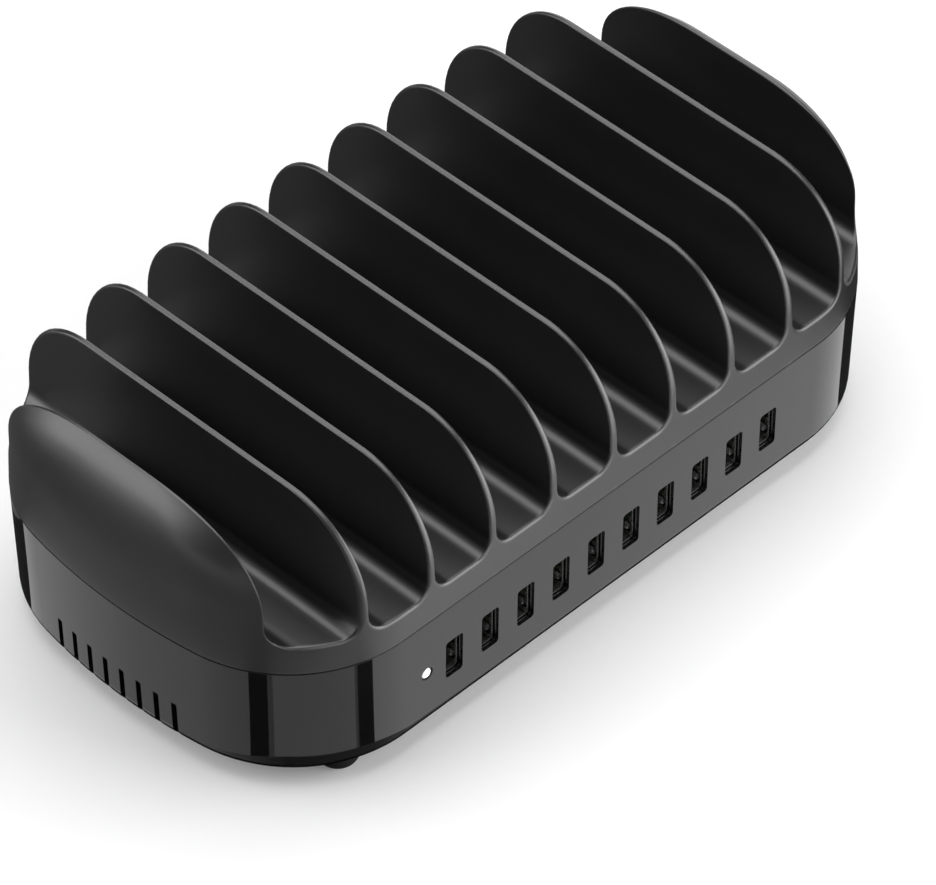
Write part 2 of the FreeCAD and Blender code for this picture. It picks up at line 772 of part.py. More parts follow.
def ac_inlet_body():
    """Two-pole appliance inlet, its flange on the outside of the rear panel."""
    panel = rear_panel_y()[1]
    flange_y = (panel, panel + FLANGE_THICK)
    flange = block(
        span(INLET_X, INLET_WIDE + 2 * INLET_FLANGE), flange_y, span(PORT_Z, INLET_TALL + 2 * INLET_FLANGE)
    )
    flange = round_edges(flange, INLET_FLANGE, lambda edge: runs_along(edge, Vector(0, 1, 0)))
    body = block(span(INLET_X, INLET_WIDE), (panel - INLET_LONG, panel), span(PORT_Z, INLET_TALL))
    mouth_y = (flange_y[1] - INLET_MOUTH_DEEP, flange_y[1])
    mouth = stadium(INLET_MOUTH_WIDE, INLET_MOUTH_TALL, INLET_X, PORT_Z, mouth_y)
    holes = [
        along_y(INLET_X + side * PIN_PITCH / 2, (panel - INLET_LONG, mouth_y[0]), PORT_Z, PIN_RADIUS)
        for side in (-1, 1)
    ]
    return joined([flange, body]).cut([mouth] + holes)


def inlet_pin_y():
    """Range of the inlet pins, from the solder tail to the tip inside the mouth."""
    panel = rear_panel_y()[1]
    return (panel - INLET_LONG - PIN_TAIL, panel + FLANGE_THICK - PIN_SETBACK)


def ac_inlet_pins():
    """The two round pins of the inlet."""
    pins = [
        along_y(INLET_X + side * PIN_PITCH / 2, inlet_pin_y(), PORT_Z, PIN_RADIUS - SCREW_CLEARANCE)
        for side in (-1, 1)
    ]
    return Part.Compound(pins)


def pivot_y():
    """The rocker's axis, behind the switch flange."""
    return rear_panel_y()[1] + FLANGE_THICK - PIVOT_DEEP


def switch_rear_y():
    """Back of the switch body."""
    return rear_panel_y()[1] - SWITCH_DEEP


def switch_housing():
    """Switch body through the rear panel, hollow round the rocker, with bearing holes for its pins."""
    panel = rear_panel_y()[1]
    half_wide, half_tall = switch_body_half()
    x = switch_x()
    flange = block(
        span(x, 2 * (half_wide + SWITCH_FLANGE)),
        (panel, panel + FLANGE_THICK),
        span(PORT_Z, 2 * (half_tall + SWITCH_FLANGE)),
    )
    body = block(span(x, 2 * half_wide), (switch_rear_y(), panel), span(PORT_Z, 2 * half_tall))
    cavity = block(
        span(x, 2 * (half_wide - SWITCH_WALL)),
        (pivot_y() - SWITCH_CAVITY, panel + FLANGE_THICK),
        span(PORT_Z, 2 * (half_tall - SWITCH_WALL)),
    )
    pin_half = ROCKER_TALL / 2 + ROCKER_GAP + PIVOT_LONG
    bearing = upright(x, pivot_y(), (PORT_Z - pin_half, PORT_Z + pin_half), PIVOT_RADIUS + PIVOT_CLEARANCE)
    slots = [
        block(
            span(x + side * TERMINAL_PITCH / 2, TERMINAL_THICK),
            (switch_rear_y(), pivot_y() - SWITCH_CAVITY),
            span(PORT_Z, TERMINAL_WIDE),
        )
        for side in (-1, 1)
    ]
    return joined([flange, body]).cut([cavity, bearing] + slots)


def switch_rocker():
    """Rocker with a shallow V front and round ends about its axis, shown tipped to its left."""
    x = switch_x()
    y = pivot_y()
    rise = math.radians(ROCKER_ANGLE)
    tip_x = ROCKER_SWING * math.cos(math.asin(ROCKER_RIDGE / ROCKER_SWING * math.cos(rise)) + rise)
    tip_y = math.sqrt(ROCKER_SWING**2 - tip_x**2)
    back_x = math.sqrt(ROCKER_SWING**2 - ROCKER_BACK**2)
    z = PORT_Z - ROCKER_TALL / 2

    def point(px, py):
        return Vector(x + px, y + py, z)

    outline = Part.Wire(
        [
            Part.LineSegment(point(-back_x, -ROCKER_BACK), point(back_x, -ROCKER_BACK)).toShape(),
            Part.Arc(point(back_x, -ROCKER_BACK), point(ROCKER_SWING, 0), point(tip_x, tip_y)).toShape(),
            Part.LineSegment(point(tip_x, tip_y), point(0, ROCKER_RIDGE)).toShape(),
            Part.LineSegment(point(0, ROCKER_RIDGE), point(-tip_x, tip_y)).toShape(),
            Part.Arc(point(-tip_x, tip_y), point(-ROCKER_SWING, 0), point(-back_x, -ROCKER_BACK)).toShape(),
        ]
    )
    paddle = Part.Face(outline).extrude(Vector(0, 0, ROCKER_TALL))
    pin_half = ROCKER_TALL / 2 + ROCKER_GAP + PIVOT_LONG - PIVOT_CLEARANCE
    pin = upright(x, y, (PORT_Z - pin_half, PORT_Z + pin_half), PIVOT_RADIUS)
    rocker = joined([paddle, pin])
    rocker.rotate(Vector(x, y, PORT_Z), Vector(0, 0, 1), -ROCKER_ANGLE)
    return rocker


def switch_terminals():
    """Two flat tabs out of the back of the switch."""
    y = (switch_rear_y() - TERMINAL_LONG, pivot_y() - SWITCH_CAVITY)
    return Part.Compound(
        [
            block(
                span(switch_x() + side * TERMINAL_PITCH / 2, TERMINAL_THICK), y, span(PORT_Z, TERMINAL_WIDE)
            )
            for side in (-1, 1)
        ]
    )


def wire_tube(points, bend):
    """A wire along straight runs with a tangent arc of that bend at each inner point."""
    edges = []
    start = points[0]
    for before, corner, after in zip(points, points[1:], points[2:]):
        into = (corner - before).normalize()
        out = (after - corner).normalize()
        first = corner - into * bend
        last = corner + out * bend
        centre = corner - into * bend + out * bend
        middle = centre + (corner - centre).normalize() * bend
        edges.append(Part.LineSegment(start, first).toShape())
        edges.append(Part.Arc(first, middle, last).toShape())
        start = last
    edges.append(Part.LineSegment(start, points[-1]).toShape())
    direction = points[1] - points[0]
    section = Part.Wire([Part.Circle(points[0], direction, LEAD_RADIUS).toShape()])
    return Part.Wire(edges).makePipeShell([section], True, False)


def ac_leads():
    """Mains wires: inlet to board, inlet to switch, switch to board."""
    top = psu_board_z()[1]
    inlet_tail = inlet_pin_y()[0]
    switch_tail = switch_rear_y() - TERMINAL_LONG
    run_y = min(inlet_tail, switch_tail) - 2 * AC_LEAD_BEND
    left_pin = INLET_X - PIN_PITCH / 2
    right_pin = INLET_X + PIN_PITCH / 2
    left_tab = switch_x() - TERMINAL_PITCH / 2
    right_tab = switch_x() + TERMINAL_PITCH / 2
    routes = [
        [Vector(left_pin, inlet_tail, PORT_Z), Vector(left_pin, run_y, PORT_Z), Vector(left_pin, run_y, top)],
        [
            Vector(right_pin, inlet_tail, PORT_Z),
            Vector(right_pin, run_y, PORT_Z),
            Vector(left_tab, run_y, PORT_Z),
            Vector(left_tab, switch_tail, PORT_Z),
        ],
        [
            Vector(right_tab, switch_tail, PORT_Z),
            Vector(right_tab, run_y, PORT_Z),
            Vector(right_tab, run_y, top),
        ],
    ]
    return Part.Compound([wire_tube(route, AC_LEAD_BEND) for route in routes])


def dc_leads():
    """Low voltage wires that arch from the power supply board to the socket board."""
    first_y = psu_board_range()[1][0] + LEAD_EDGE
    last_y = usb_board_range()[1][1] - LEAD_EDGE
    bend = (first_y - last_y) / 2 - 0.01
    high = usb_board_z()[1] + DC_LEAD_RISE + bend
    leads = []
    for index in range(DC_LEAD_COUNT):
        x = OUTPUT_X + (index - (DC_LEAD_COUNT - 1) / 2) * DC_LEAD_PITCH
        route = [
            Vector(x, first_y, psu_board_z()[1]),
            Vector(x, first_y, high),
            Vector(x, last_y, high),
            Vector(x, last_y, usb_board_z()[1]),
        ]
        leads.append(wire_tube(route, bend))
    return Part.Compound(leads)


def screw(x, y, seat, long, up):
    """A pan-head screw: its head on the seat, its shank down from it, or up where up is true."""
    head_z = (seat - SCREW_HEAD, seat) if up else (seat, seat + SCREW_HEAD)
    shank_z = (seat, seat + long) if up else (seat - long, seat)
    return joined([upright(x, y, head_z, SCREW_HEAD_RADIUS), upright(x, y, shank_z, SCREW_RADIUS)])


def board_screws():
    """The screws of both boards."""
    screws = [screw(x, y, usb_board_z()[1], BOARD_SCREW_LONG, False) for x, y in usb_post_places()]
    screws += [screw(x, y, psu_board_z()[1], BOARD_SCREW_LONG, False) for x, y in psu_post_places()]
    return Part.Compound(screws)


def case_screws():
    """The four screws up through the housing's bosses into the cover."""
    seat = SEAM_Z - CASE_SCREW_SEAT
    long = CASE_SCREW_SEAT + CASE_SCREW_BITE
    return Part.Compound([screw(x, y, seat, long, True) for x, y in case_screw_places()])


def build():
    """Every piece of the station by name."""
    pieces = {"top_cover": top_cover(), "lower_housing": lower_housing()}
    for name, (x, y) in foot_places().items():
        pieces[name] = foot(x, y)
    pieces["led_light_pipe"] = led_light_pipe()
    pieces["status_led"] = status_led()
    for index in range(PORT_COUNT):
        number = f"{index + 1:02d}"
        pieces["usb_shell_" + number] = usb_shell(index)
        pieces["usb_tongue_" + number] = usb_tongue(index)
        pieces["usb_contacts_" + number] = usb_contacts(index)
    pieces["usb_board"] = usb_board()
    pieces["psu_board"] = psu_board()
    pieces["insulation_sheet"] = insulation_sheet()
    pieces["transformer_core"] = transformer_core()
    pieces["transformer_winding"] = transformer_winding()
    pieces["bulk_capacitors"] = bulk_capacitors()
    pieces["output_capacitors"] = output_capacitors()
    pieces["common_mode_choke"] = common_mode_choke()
    pieces["x_capacitor"] = x_capacitor()
    pieces["bridge_rectifier"] = bridge_rectifier()
    pieces["primary_heatsink"] = heatsink(TRANSFORMER_X)
    pieces["secondary_heatsink"] = heatsink(TRANSFORMER_X + HEATSINK_SPACING)
    pieces["fuse"] = fuse()
    pieces["ac_inlet_body"] = ac_inlet_body()
    pieces["ac_inlet_pins"] = ac_inlet_pins()
    pieces["switch_housing"] = switch_housing()
    pieces["switch_rocker"] = switch_rocker()
    pieces["switch_terminals"] = switch_terminals()
    pieces["ac_leads"] = ac_leads()
    pieces["dc_leads"] = dc_leads()
    pieces["board_screws"] = board_screws()
    pieces["case_screws"] = case_screws()
    return pieces


os.makedirs("parts", exist_ok=True)
for piece_name, piece_shape in build().items():
    piece_shape.exportStep(os.path.join("parts", piece_name + ".step"))
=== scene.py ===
import math

import bmesh
import bpy
from mathutils import Matrix, Vector


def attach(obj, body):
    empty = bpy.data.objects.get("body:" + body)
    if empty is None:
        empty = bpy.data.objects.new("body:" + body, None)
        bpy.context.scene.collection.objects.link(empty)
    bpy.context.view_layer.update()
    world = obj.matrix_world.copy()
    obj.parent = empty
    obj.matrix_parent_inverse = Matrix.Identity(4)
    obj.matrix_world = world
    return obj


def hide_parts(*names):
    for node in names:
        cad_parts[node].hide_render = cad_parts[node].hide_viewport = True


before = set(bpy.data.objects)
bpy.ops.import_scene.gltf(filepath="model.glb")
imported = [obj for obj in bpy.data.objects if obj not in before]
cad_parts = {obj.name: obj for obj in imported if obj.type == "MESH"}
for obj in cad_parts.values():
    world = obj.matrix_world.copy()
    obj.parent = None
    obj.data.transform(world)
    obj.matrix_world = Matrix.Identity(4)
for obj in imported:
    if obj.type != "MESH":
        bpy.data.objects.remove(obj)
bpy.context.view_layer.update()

# Lower housing
# The glossy tub that carries everything, moulded in polished black plastic and open at the top. Its front
# has ten upright socket holes and the light hole, its ends have vents, and its back a recess for the mains.
MM = 0.001
GROUND_GAP, SEAM = 5.3, 46.4
BASE_LENGTH, BASE_DEPTH = 128.9, 69.1
SEAM_LENGTH, SEAM_DEPTH = 130.3, 69.7
CORNER, END_BOW = 44.4, 194.0
BOTTOM_ROUND, WALL = 5.0, 2.5
EDGE_ROUND, EDGE_TURN = 0.3, 0.09
INNER_TURN, INNER_TURN_Z = 0.8, 8.5
FRONT_STEPS, CORNER_STEPS, BOW_STEPS, ROUND_STEPS = 8, 18, 5, 8


def spread(count, pitch):
    """The places of a row of like things, a pitch apart about its middle."""
    return [(i - (count - 1) / 2) * pitch for i in range(count)]


PORT_X, PORT_Z = spread(10, 14.2), 26.0
PORT_HALF_WIDE, PORT_HALF_TALL, PORT_CORNER = 3.35, 7.05, 1.1
LIGHT_X, LIGHT_Z = -74.6, 26.5
LIGHT_RING, LIGHT_RING_FLOOR, LIGHT_BORE = 2.2, -69.0, 1.7
VENT_Y, VENT_HALF, VENT_CORNER = spread(8, 6.63), 1.0, 0.45
VENT_X, VENT_Z = (118.0, 136.0), (6.55, 20.2)
RECESS_X, RECESS_Z = (-72.0, -5.7), (13.46, 38.54)
RECESS_FLOOR, RECESS_CORNER, RECESS_LAP = 63.9, 1.5, 1.0
MAINS_Z = 26.0
INLET_X, INLET_HALF_WIDE, INLET_HALF_TALL = -57.0, 9.1, 5.6
SWITCH_X, SWITCH_HALF_WIDE, SWITCH_HALF_TALL = -21.0, 10.4, 7.6
SCREW_PLACES = [(sx * 107.9, sy * 34.0) for sx in (-1, 1) for sy in (-1, 1)]
BOSS_RADIUS, BOSS_Z = 5.2, (7.0, 41.0)
SCREW_BORE, SCREW_BORE_Z = 3.2, (2.0, 38.4)
FRONT_CUT, BACK_CUT, PANEL_CUT = (-74.0, -60.0), 76.0, (58.0, 68.0)
LONG_EDGE = 5.0


def alone():
    """Leaves edit mode and deselects everything, so that the next operator acts on its own piece only."""
    if bpy.context.object and bpy.context.object.mode == "EDIT":
        bpy.ops.object.mode_set(mode="OBJECT")
    bpy.ops.object.select_all(action="DESELECT")


def hold(piece):
    """Makes one piece the selected and active one."""
    alone()
    piece.select_set(True)
    bpy.context.view_layer.objects.active = piece


def pick_faces(piece, test):
    """Opens a piece in edit mode with the faces selected whose middle and normal pass the test."""
    hold(piece)
    for group in (piece.data.vertices, piece.data.edges):
        group.foreach_set("select", [False] * len(group))
    for face in piece.data.polygons:
        face.select = bool(test(face.center / MM, face.normal))
    bpy.context.tool_settings.mesh_select_mode = (False, False, True)
    bpy.ops.object.mode_set(mode="EDIT")


def round_edges(piece, test, radius, segments):
    """Rounds the edges of a piece whose two ends, in millimetres, pass the test."""
    hold(piece)
    for group in (piece.data.vertices, piece.data.polygons):
        group.foreach_set("select", [False] * len(group))
    spots = [v.co / MM for v in piece.data.vertices]
    for edge in piece.data.edges:
        edge.select = bool(test(spots[edge.vertices[0]], spots[edge.vertices[1]]))
    bpy.context.tool_settings.mesh_select_mode = (False, True, False)
    bpy.ops.object.mode_set(mode="EDIT")
    bpy.ops.mesh.bevel(offset=radius * MM, segments=segments, affect="EDGES", clamp_overlap=False)
    alone()


def runs_back(a, b):
    """Tells whether an edge runs from front to back."""
    return abs(a.y - b.y) > LONG_EDGE


def add_box(name, low, high):
    """A block between two corners, in millimetres, with its place in its mesh."""
    alone()
    bpy.ops.mesh.primitive_cube_add(size=1.0, location=[(a + b) / 2 * MM for a, b in zip(low, high)],
                                    scale=[(b - a) * MM for a, b in zip(low, high)])
    block = bpy.context.object
    block.name = block.data.name = name
    bpy.ops.object.transform_apply(location=True, rotation=True, scale=True)
    return block


def add_rod(name, start, end, radius, sides=48):
    """A round bar from start to end, in millimetres, along one of the three directions."""
    alone()
    a, b = Vector(start) * MM, Vector(end) * MM
    turn = Vector((0, 0, 1)).rotation_difference(b - a).to_euler()
    bpy.ops.mesh.primitive_cylinder_add(vertices=sides, radius=radius * MM, depth=(b - a).length,
                                        location=(a + b) / 2, rotation=turn)
    rod = bpy.context.object
    rod.name = rod.data.name = name
    bpy.ops.object.transform_apply(location=True, rotation=True, scale=True)
    return rod


def lay_sheet(name, across, up, place):
    """Lays a grid and moves each of its points to where place(i, j) says, in millimetres."""
    alone()
    bpy.ops.mesh.primitive_grid_add(x_subdivisions=across, y_subdivisions=up, size=1.0)
    sheet = bpy.context.object
    sheet.name = sheet.data.name = name
    for j in range(up + 1):
        for i in range(across + 1):
            sheet.data.vertices[j * (across + 1) + i].co = Vector(place(i, j)) * MM
    return sheet


def copy_piece(piece, name, shift):
    """A copy with its own mesh, moved by a shift in millimetres."""
    twin = piece.copy()
    twin.data = piece.data.copy()
    twin.data.transform(Matrix.Translation(Vector(shift) * MM))
    twin.name = twin.data.name = name
    bpy.context.collection.objects.link(twin)
    return twin


def join_pieces(pieces):
    """Joins pieces into the first of them."""
    alone()
    for piece in pieces:
        piece.select_set(True)
    bpy.context.view_layer.objects.active = pieces[0]
    bpy.ops.object.join()
    return pieces[0]


def combine(piece, tool, how):
    """Cuts a tool shape out of a piece, or adds it, and removes the tool."""
    hold(piece)
    step = piece.modifiers.new("combine", "BOOLEAN")
    step.operation, step.solver, step.object = how, "EXACT", tool
    bpy.ops.object.modifier_apply(modifier=step.name)
    bpy.data.meshes.remove(tool.data)


def close_up(piece):
    """Merges the doubles of a piece, fills its open loops and turns its faces outwards."""
    pick_faces(piece, lambda middle, normal: True)
    bpy.ops.mesh.remove_doubles(threshold=0.01 * MM)
    bpy.ops.mesh.select_all(action="SELECT")
    bpy.ops.mesh.fill_holes(sides=0)
    bpy.ops.mesh.select_all(action="SELECT")
    bpy.ops.mesh.normals_make_consistent(inside=False)
    bpy.ops.object.mode_set(mode="OBJECT")


def smooth(piece, degrees):
    """Shades a piece smooth below an edge angle, with the larger faces setting the normals."""
    hold(piece)
    bpy.ops.object.shade_smooth_by_angle(angle=math.radians(degrees))
    step = piece.modifiers.new("normals", "WEIGHTED_NORMAL")
    step.keep_sharp, step.weight = True, 70
    bpy.ops.object.modifier_apply(modifier=step.name)


def add_noise(tree, where, size, detail):
    """A soft noise on the piece's own coordinates, with patches of a size in millimetres."""
    noise = tree.nodes.new("ShaderNodeTexNoise")
    noise.inputs["Scale"].default_value = 1 / (size * MM)
    noise.inputs["Detail"].default_value = detail
    tree.links.new(where.outputs["Object"], noise.inputs["Vector"])
    return noise.outputs["Fac"]


def moulded(name, dark, light, patch, rough, grain=1.0, relief=0.0):
    """A moulded plastic: two near shades in soft patches, wandering roughness and a grain in relief."""
    finish = bpy.data.materials.new(name)
    finish.use_nodes = True
    tree = finish.node_tree
    shader = tree.nodes["Principled BSDF"]
    where = tree.nodes.new("ShaderNodeTexCoord")
    cloud = add_noise(tree, where, patch, 4.0)
    shade = tree.nodes.new("ShaderNodeValToRGB")
    first, last = shade.color_ramp.elements
    first.position, last.position = 0.3, 0.7
    first.color, last.color = (*dark, 1), (*light, 1)
    tree.links.new(cloud, shade.inputs["Fac"])
    tree.links.new(shade.outputs["Color"], shader.inputs["Base Color"])
    polish = tree.nodes.new("ShaderNodeMapRange")
    polish.inputs["To Min"].default_value, polish.inputs["To Max"].default_value = rough
    tree.links.new(cloud, polish.inputs["Value"])
    tree.links.new(polish.outputs["Result"], shader.inputs["Roughness"])
    if relief:
        bump = tree.nodes.new("ShaderNodeBump")
        bump.inputs["Strength"].default_value = relief
        bump.inputs["Distance"].default_value = 0.1 * MM
        tree.links.new(add_noise(tree, where, grain, 3.0), bump.inputs["Height"])
        tree.links.new(bump.outputs["Normal"], shader.inputs["Normal"])
    return finish


def plan_corner(half_length, half_depth, corner, bow):
    """Where the corner arc and the bowed end of the plan outline have their centres, and where they meet."""
    corner_y = half_depth - corner
    bow_x = half_length - bow
    corner_x = bow_x + math.sqrt((bow - corner) ** 2 - corner_y ** 2)
    return corner_x, corner_y, bow_x, math.atan2(corner_y, corner_x - bow_x)


def plan_loop(half_length, half_depth, corner, bow):
    """The outline of the case in plan, from the middle of the front round to the right."""
    corner_x, corner_y, bow_x, turn = plan_corner(half_length, half_depth, corner, bow)
    quarter = [(corner_x * step / FRONT_STEPS, -half_depth) for step in range(FRONT_STEPS)]
    for step in range(CORNER_STEPS + 1):
        angle = -math.pi / 2 + (math.pi / 2 - turn) * step / CORNER_STEPS
        quarter.append((corner_x + corner * math.cos(angle), -corner_y + corner * math.sin(angle)))
    for step in reversed(range(BOW_STEPS)):
        angle = turn * step / BOW_STEPS
        quarter.append((bow_x + bow * math.cos(angle), -bow * math.sin(angle)))
    back = quarter[::-1]
    return (quarter[:-1] + [(x, -y) for x, y in back][:-1]
            + [(-x, -y) for x, y in quarter][:-1] + [(-x, y) for x, y in back][:-1])


def housing_plan(z):
    """Half the length and half the depth of the housing at a height."""
    share = (z - GROUND_GAP) / (SEAM - GROUND_GAP)
    return BASE_LENGTH + (SEAM_LENGTH - BASE_LENGTH) * share, BASE_DEPTH + (SEAM_DEPTH - BASE_DEPTH) * share


def housing_ring(inset, z):
    """The housing's outline at a height, moved inwards by an inset."""
    half_length, half_depth = housing_plan(z)
    loop = plan_loop(half_length - inset, half_depth - inset, CORNER - inset, END_BOW - inset)
    return [(x, y, z) for x, y in loop]


rings = []
for step in range(ROUND_STEPS + 1):
    angle = math.pi / 2 * step / ROUND_STEPS
    rings.append(housing_ring(BOTTOM_ROUND * (1 - math.sin(angle)),
                              GROUND_GAP + BOTTOM_ROUND * (1 - math.cos(angle))))
for inset, z in ((0.0, SEAM - EDGE_ROUND), (EDGE_TURN, SEAM - EDGE_TURN), (EDGE_ROUND, SEAM), (WALL, SEAM),
                 (WALL, GROUND_GAP + BOTTOM_ROUND), (WALL + INNER_TURN, INNER_TURN_Z),
                 (2 * WALL, GROUND_GAP + WALL)):
    rings.append(housing_ring(inset, z))
housing = lay_sheet("housing", len(rings[0]), len(rings) - 1, lambda i, j: rings[j][i % len(rings[j])])
close_up(housing)

recess_wall = add_box("recess_wall", (RECESS_X[0] - WALL, RECESS_FLOOR - WALL, RECESS_Z[0] - WALL),
                      (RECESS_X[1] + WALL, BASE_DEPTH - WALL + RECESS_LAP, RECESS_Z[1] + WALL))
combine(housing, recess_wall, "UNION")
bosses = [add_rod("boss", (x, y, BOSS_Z[0]), (x, y, BOSS_Z[1]), BOSS_RADIUS) for x, y in SCREW_PLACES]
combine(housing, join_pieces(bosses), "UNION")

port = add_box("port", (PORT_X[0] - PORT_HALF_WIDE, FRONT_CUT[0], PORT_Z - PORT_HALF_TALL),
               (PORT_X[0] + PORT_HALF_WIDE, FRONT_CUT[1], PORT_Z + PORT_HALF_TALL))
round_edges(port, runs_back, PORT_CORNER, segments=6)
ports = [port] + [copy_piece(port, "port", (x - PORT_X[0], 0, 0)) for x in PORT_X[1:]]
combine(housing, join_pieces(ports), "DIFFERENCE")

vent = add_box("vent", (VENT_X[0], VENT_Y[0] - VENT_HALF, VENT_Z[0]),
               (VENT_X[1], VENT_Y[0] + VENT_HALF, VENT_Z[1]))
round_edges(vent, lambda a, b: abs(a.x - b.x) > LONG_EDGE, VENT_CORNER, segments=3)
vents = [vent] + [copy_piece(vent, "vent", (0, y - VENT_Y[0], 0)) for y in VENT_Y[1:]]
vents += [copy_piece(vent, "vent", (-sum(VENT_X), y - VENT_Y[0], 0)) for y in VENT_Y]
combine(housing, join_pieces(vents), "DIFFERENCE")

for end, radius in ((LIGHT_RING_FLOOR, LIGHT_RING), (FRONT_CUT[1], LIGHT_BORE)):
    light_hole = add_rod("light_hole", (LIGHT_X, FRONT_CUT[0], LIGHT_Z), (LIGHT_X, end, LIGHT_Z), radius)
    combine(housing, light_hole, "DIFFERENCE")
recess = add_box("recess", (RECESS_X[0], RECESS_FLOOR, RECESS_Z[0]), (RECESS_X[1], BACK_CUT, RECESS_Z[1]))
round_edges(recess, runs_back, RECESS_CORNER, segments=5)
combine(housing, recess, "DIFFERENCE")
panel_holes = []
for x, wide, tall in ((INLET_X, INLET_HALF_WIDE, INLET_HALF_TALL),
                      (SWITCH_X, SWITCH_HALF_WIDE, SWITCH_HALF_TALL)):
    panel_holes.append(add_box("panel_hole", (x - wide, PANEL_CUT[0], MAINS_Z - tall),
                               (x + wide, PANEL_CUT[1], MAINS_Z + tall)))
combine(housing, join_pieces(panel_holes), "DIFFERENCE")
bores = [add_rod("bore", (x, y, SCREW_BORE_Z[0]), (x, y, SCREW_BORE_Z[1]), SCREW_BORE)
         for x, y in SCREW_PLACES]
combine(housing, join_pieces(bores), "DIFFERENCE")
smooth(housing, degrees=32)

polished_black = moulded("polished_black", dark=(0.0055, 0.0055, 0.0058), light=(0.0070, 0.0070, 0.0073),
                         patch=30.0, rough=(0.03, 0.06))
polished_black.node_tree.nodes["Principled BSDF"].inputs["IOR"].default_value = 1.56
housing.data.materials.append(polished_black)
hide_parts("lower_housing")
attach(housing, "station")

# Feet
# Four soft rubber pads, one near each corner, stuck under the housing's floor. Each is moulded with a rounded
# edge and a shallow hollow in its tread.
FOOT_RADIUS, FOOT_X, FOOT_Y = 6.3, 96.8, 56.1
TREAD_ROUND, TREAD_RING, TREAD_HOLLOW = 2.5, 1.2, 0.3

foot = add_rod("foot_pad_front_left", (-FOOT_X, -FOOT_Y, 0), (-FOOT_X, -FOOT_Y, GROUND_GAP), FOOT_RADIUS, 64)
round_edges(foot, lambda a, b: max(a.z, b.z) < 0.1, TREAD_ROUND, segments=8)
pick_faces(foot, lambda middle, normal: normal.z < -0.999)
bpy.ops.mesh.inset(thickness=TREAD_RING * MM, depth=0)
bpy.ops.mesh.extrude_region_move(TRANSFORM_OT_translate={"value": (0, 0, TREAD_HOLLOW * MM)})
smooth(foot, degrees=40)
foot.data.materials.append(moulded("soft_rubber", dark=(0.005, 0.005, 0.005), light=(0.008, 0.008, 0.008),
                                   patch=3.0, rough=(0.6, 0.75), grain=0.25, relief=0.4))
pads = {"front_left": foot}
for corner_name, right, rear in (("front_right", 1, 0), ("rear_left", 0, 1), ("rear_right", 1, 1)):
    shift = (2 * FOOT_X * right, 2 * FOOT_Y * rear, 0)
    pads[corner_name] = copy_piece(foot, "foot_pad_" + corner_name, shift)
for corner_name, pad in pads.items():
    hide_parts("foot_" + corner_name)
    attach(pad, "station")

# Boards and the power supply
# Green circuit boards on posts inside the tub, with the parts of a mains power supply soldered on them.
# They are hidden once the case is closed, and keep the shapes of the solids.


def dress(finish, *nodes):
    """Gives a finish to solids that keep their shape."""
    for node in nodes:
        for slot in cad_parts[node].material_slots:
            slot.material = finish


def plated(name, dark, light, patch, rough):
    """A metal with cloudy plating: two near shades and a roughness that wanders between two values."""
    finish = moulded(name, dark, light, patch, rough, grain=0.4, relief=0.05)
    finish.node_tree.nodes["Principled BSDF"].inputs["Metallic"].default_value = 1.0
    return finish


dress(moulded("board_green", dark=(0.010, 0.075, 0.030), light=(0.018, 0.100, 0.042), patch=4.0,
              rough=(0.3, 0.45), grain=0.5, relief=0.1), "usb_board", "psu_board")
dress(moulded("sheet_plastic", dark=(0.50, 0.49, 0.44), light=(0.58, 0.57, 0.52), patch=20.0,
              rough=(0.5, 0.6), grain=0.5, relief=0.1), "insulation_sheet")
dress(moulded("ferrite", dark=(0.030, 0.030, 0.032), light=(0.050, 0.050, 0.053), patch=2.0,
              rough=(0.6, 0.8), grain=0.2, relief=0.4), "transformer_core", "common_mode_choke")
dress(moulded("winding_tape", dark=(0.55, 0.36, 0.04), light=(0.65, 0.45, 0.06), patch=5.0,
              rough=(0.35, 0.5), grain=0.5, relief=0.1), "transformer_winding")
dress(moulded("can_sleeve", dark=(0.020, 0.024, 0.055), light=(0.030, 0.034, 0.070), patch=6.0,
              rough=(0.3, 0.4), grain=0.5, relief=0.05), "bulk_capacitors", "output_capacitors")
dress(moulded("film_box", dark=(0.55, 0.40, 0.02), light=(0.62, 0.46, 0.04), patch=5.0,
              rough=(0.4, 0.5), grain=0.5, relief=0.1), "x_capacitor")
dress(moulded("chip_black", dark=(0.014, 0.014, 0.015), light=(0.022, 0.022, 0.023), patch=2.0,
              rough=(0.5, 0.65), grain=0.2, relief=0.3), "bridge_rectifier", "fuse")
dress(plated("heatsink", dark=(0.55, 0.56, 0.57), light=(0.65, 0.66, 0.67), patch=3.0, rough=(0.35, 0.5)),
      "primary_heatsink", "secondary_heatsink")
dress(moulded("wire_cover", dark=(0.020, 0.020, 0.022), light=(0.030, 0.030, 0.032), patch=4.0,
              rough=(0.45, 0.6), grain=0.5, relief=0.1), "ac_leads", "dc_leads")
dress(plated("screw_steel", dark=(0.30, 0.30, 0.31), light=(0.38, 0.38, 0.39), patch=2.0, rough=(0.3, 0.45)),
      "board_screws", "case_screws")
dress(moulded("light_source", dark=(0.75, 0.75, 0.70), light=(0.82, 0.82, 0.78), patch=2.0,
              rough=(0.3, 0.4), grain=0.3, relief=0.05), "status_led")

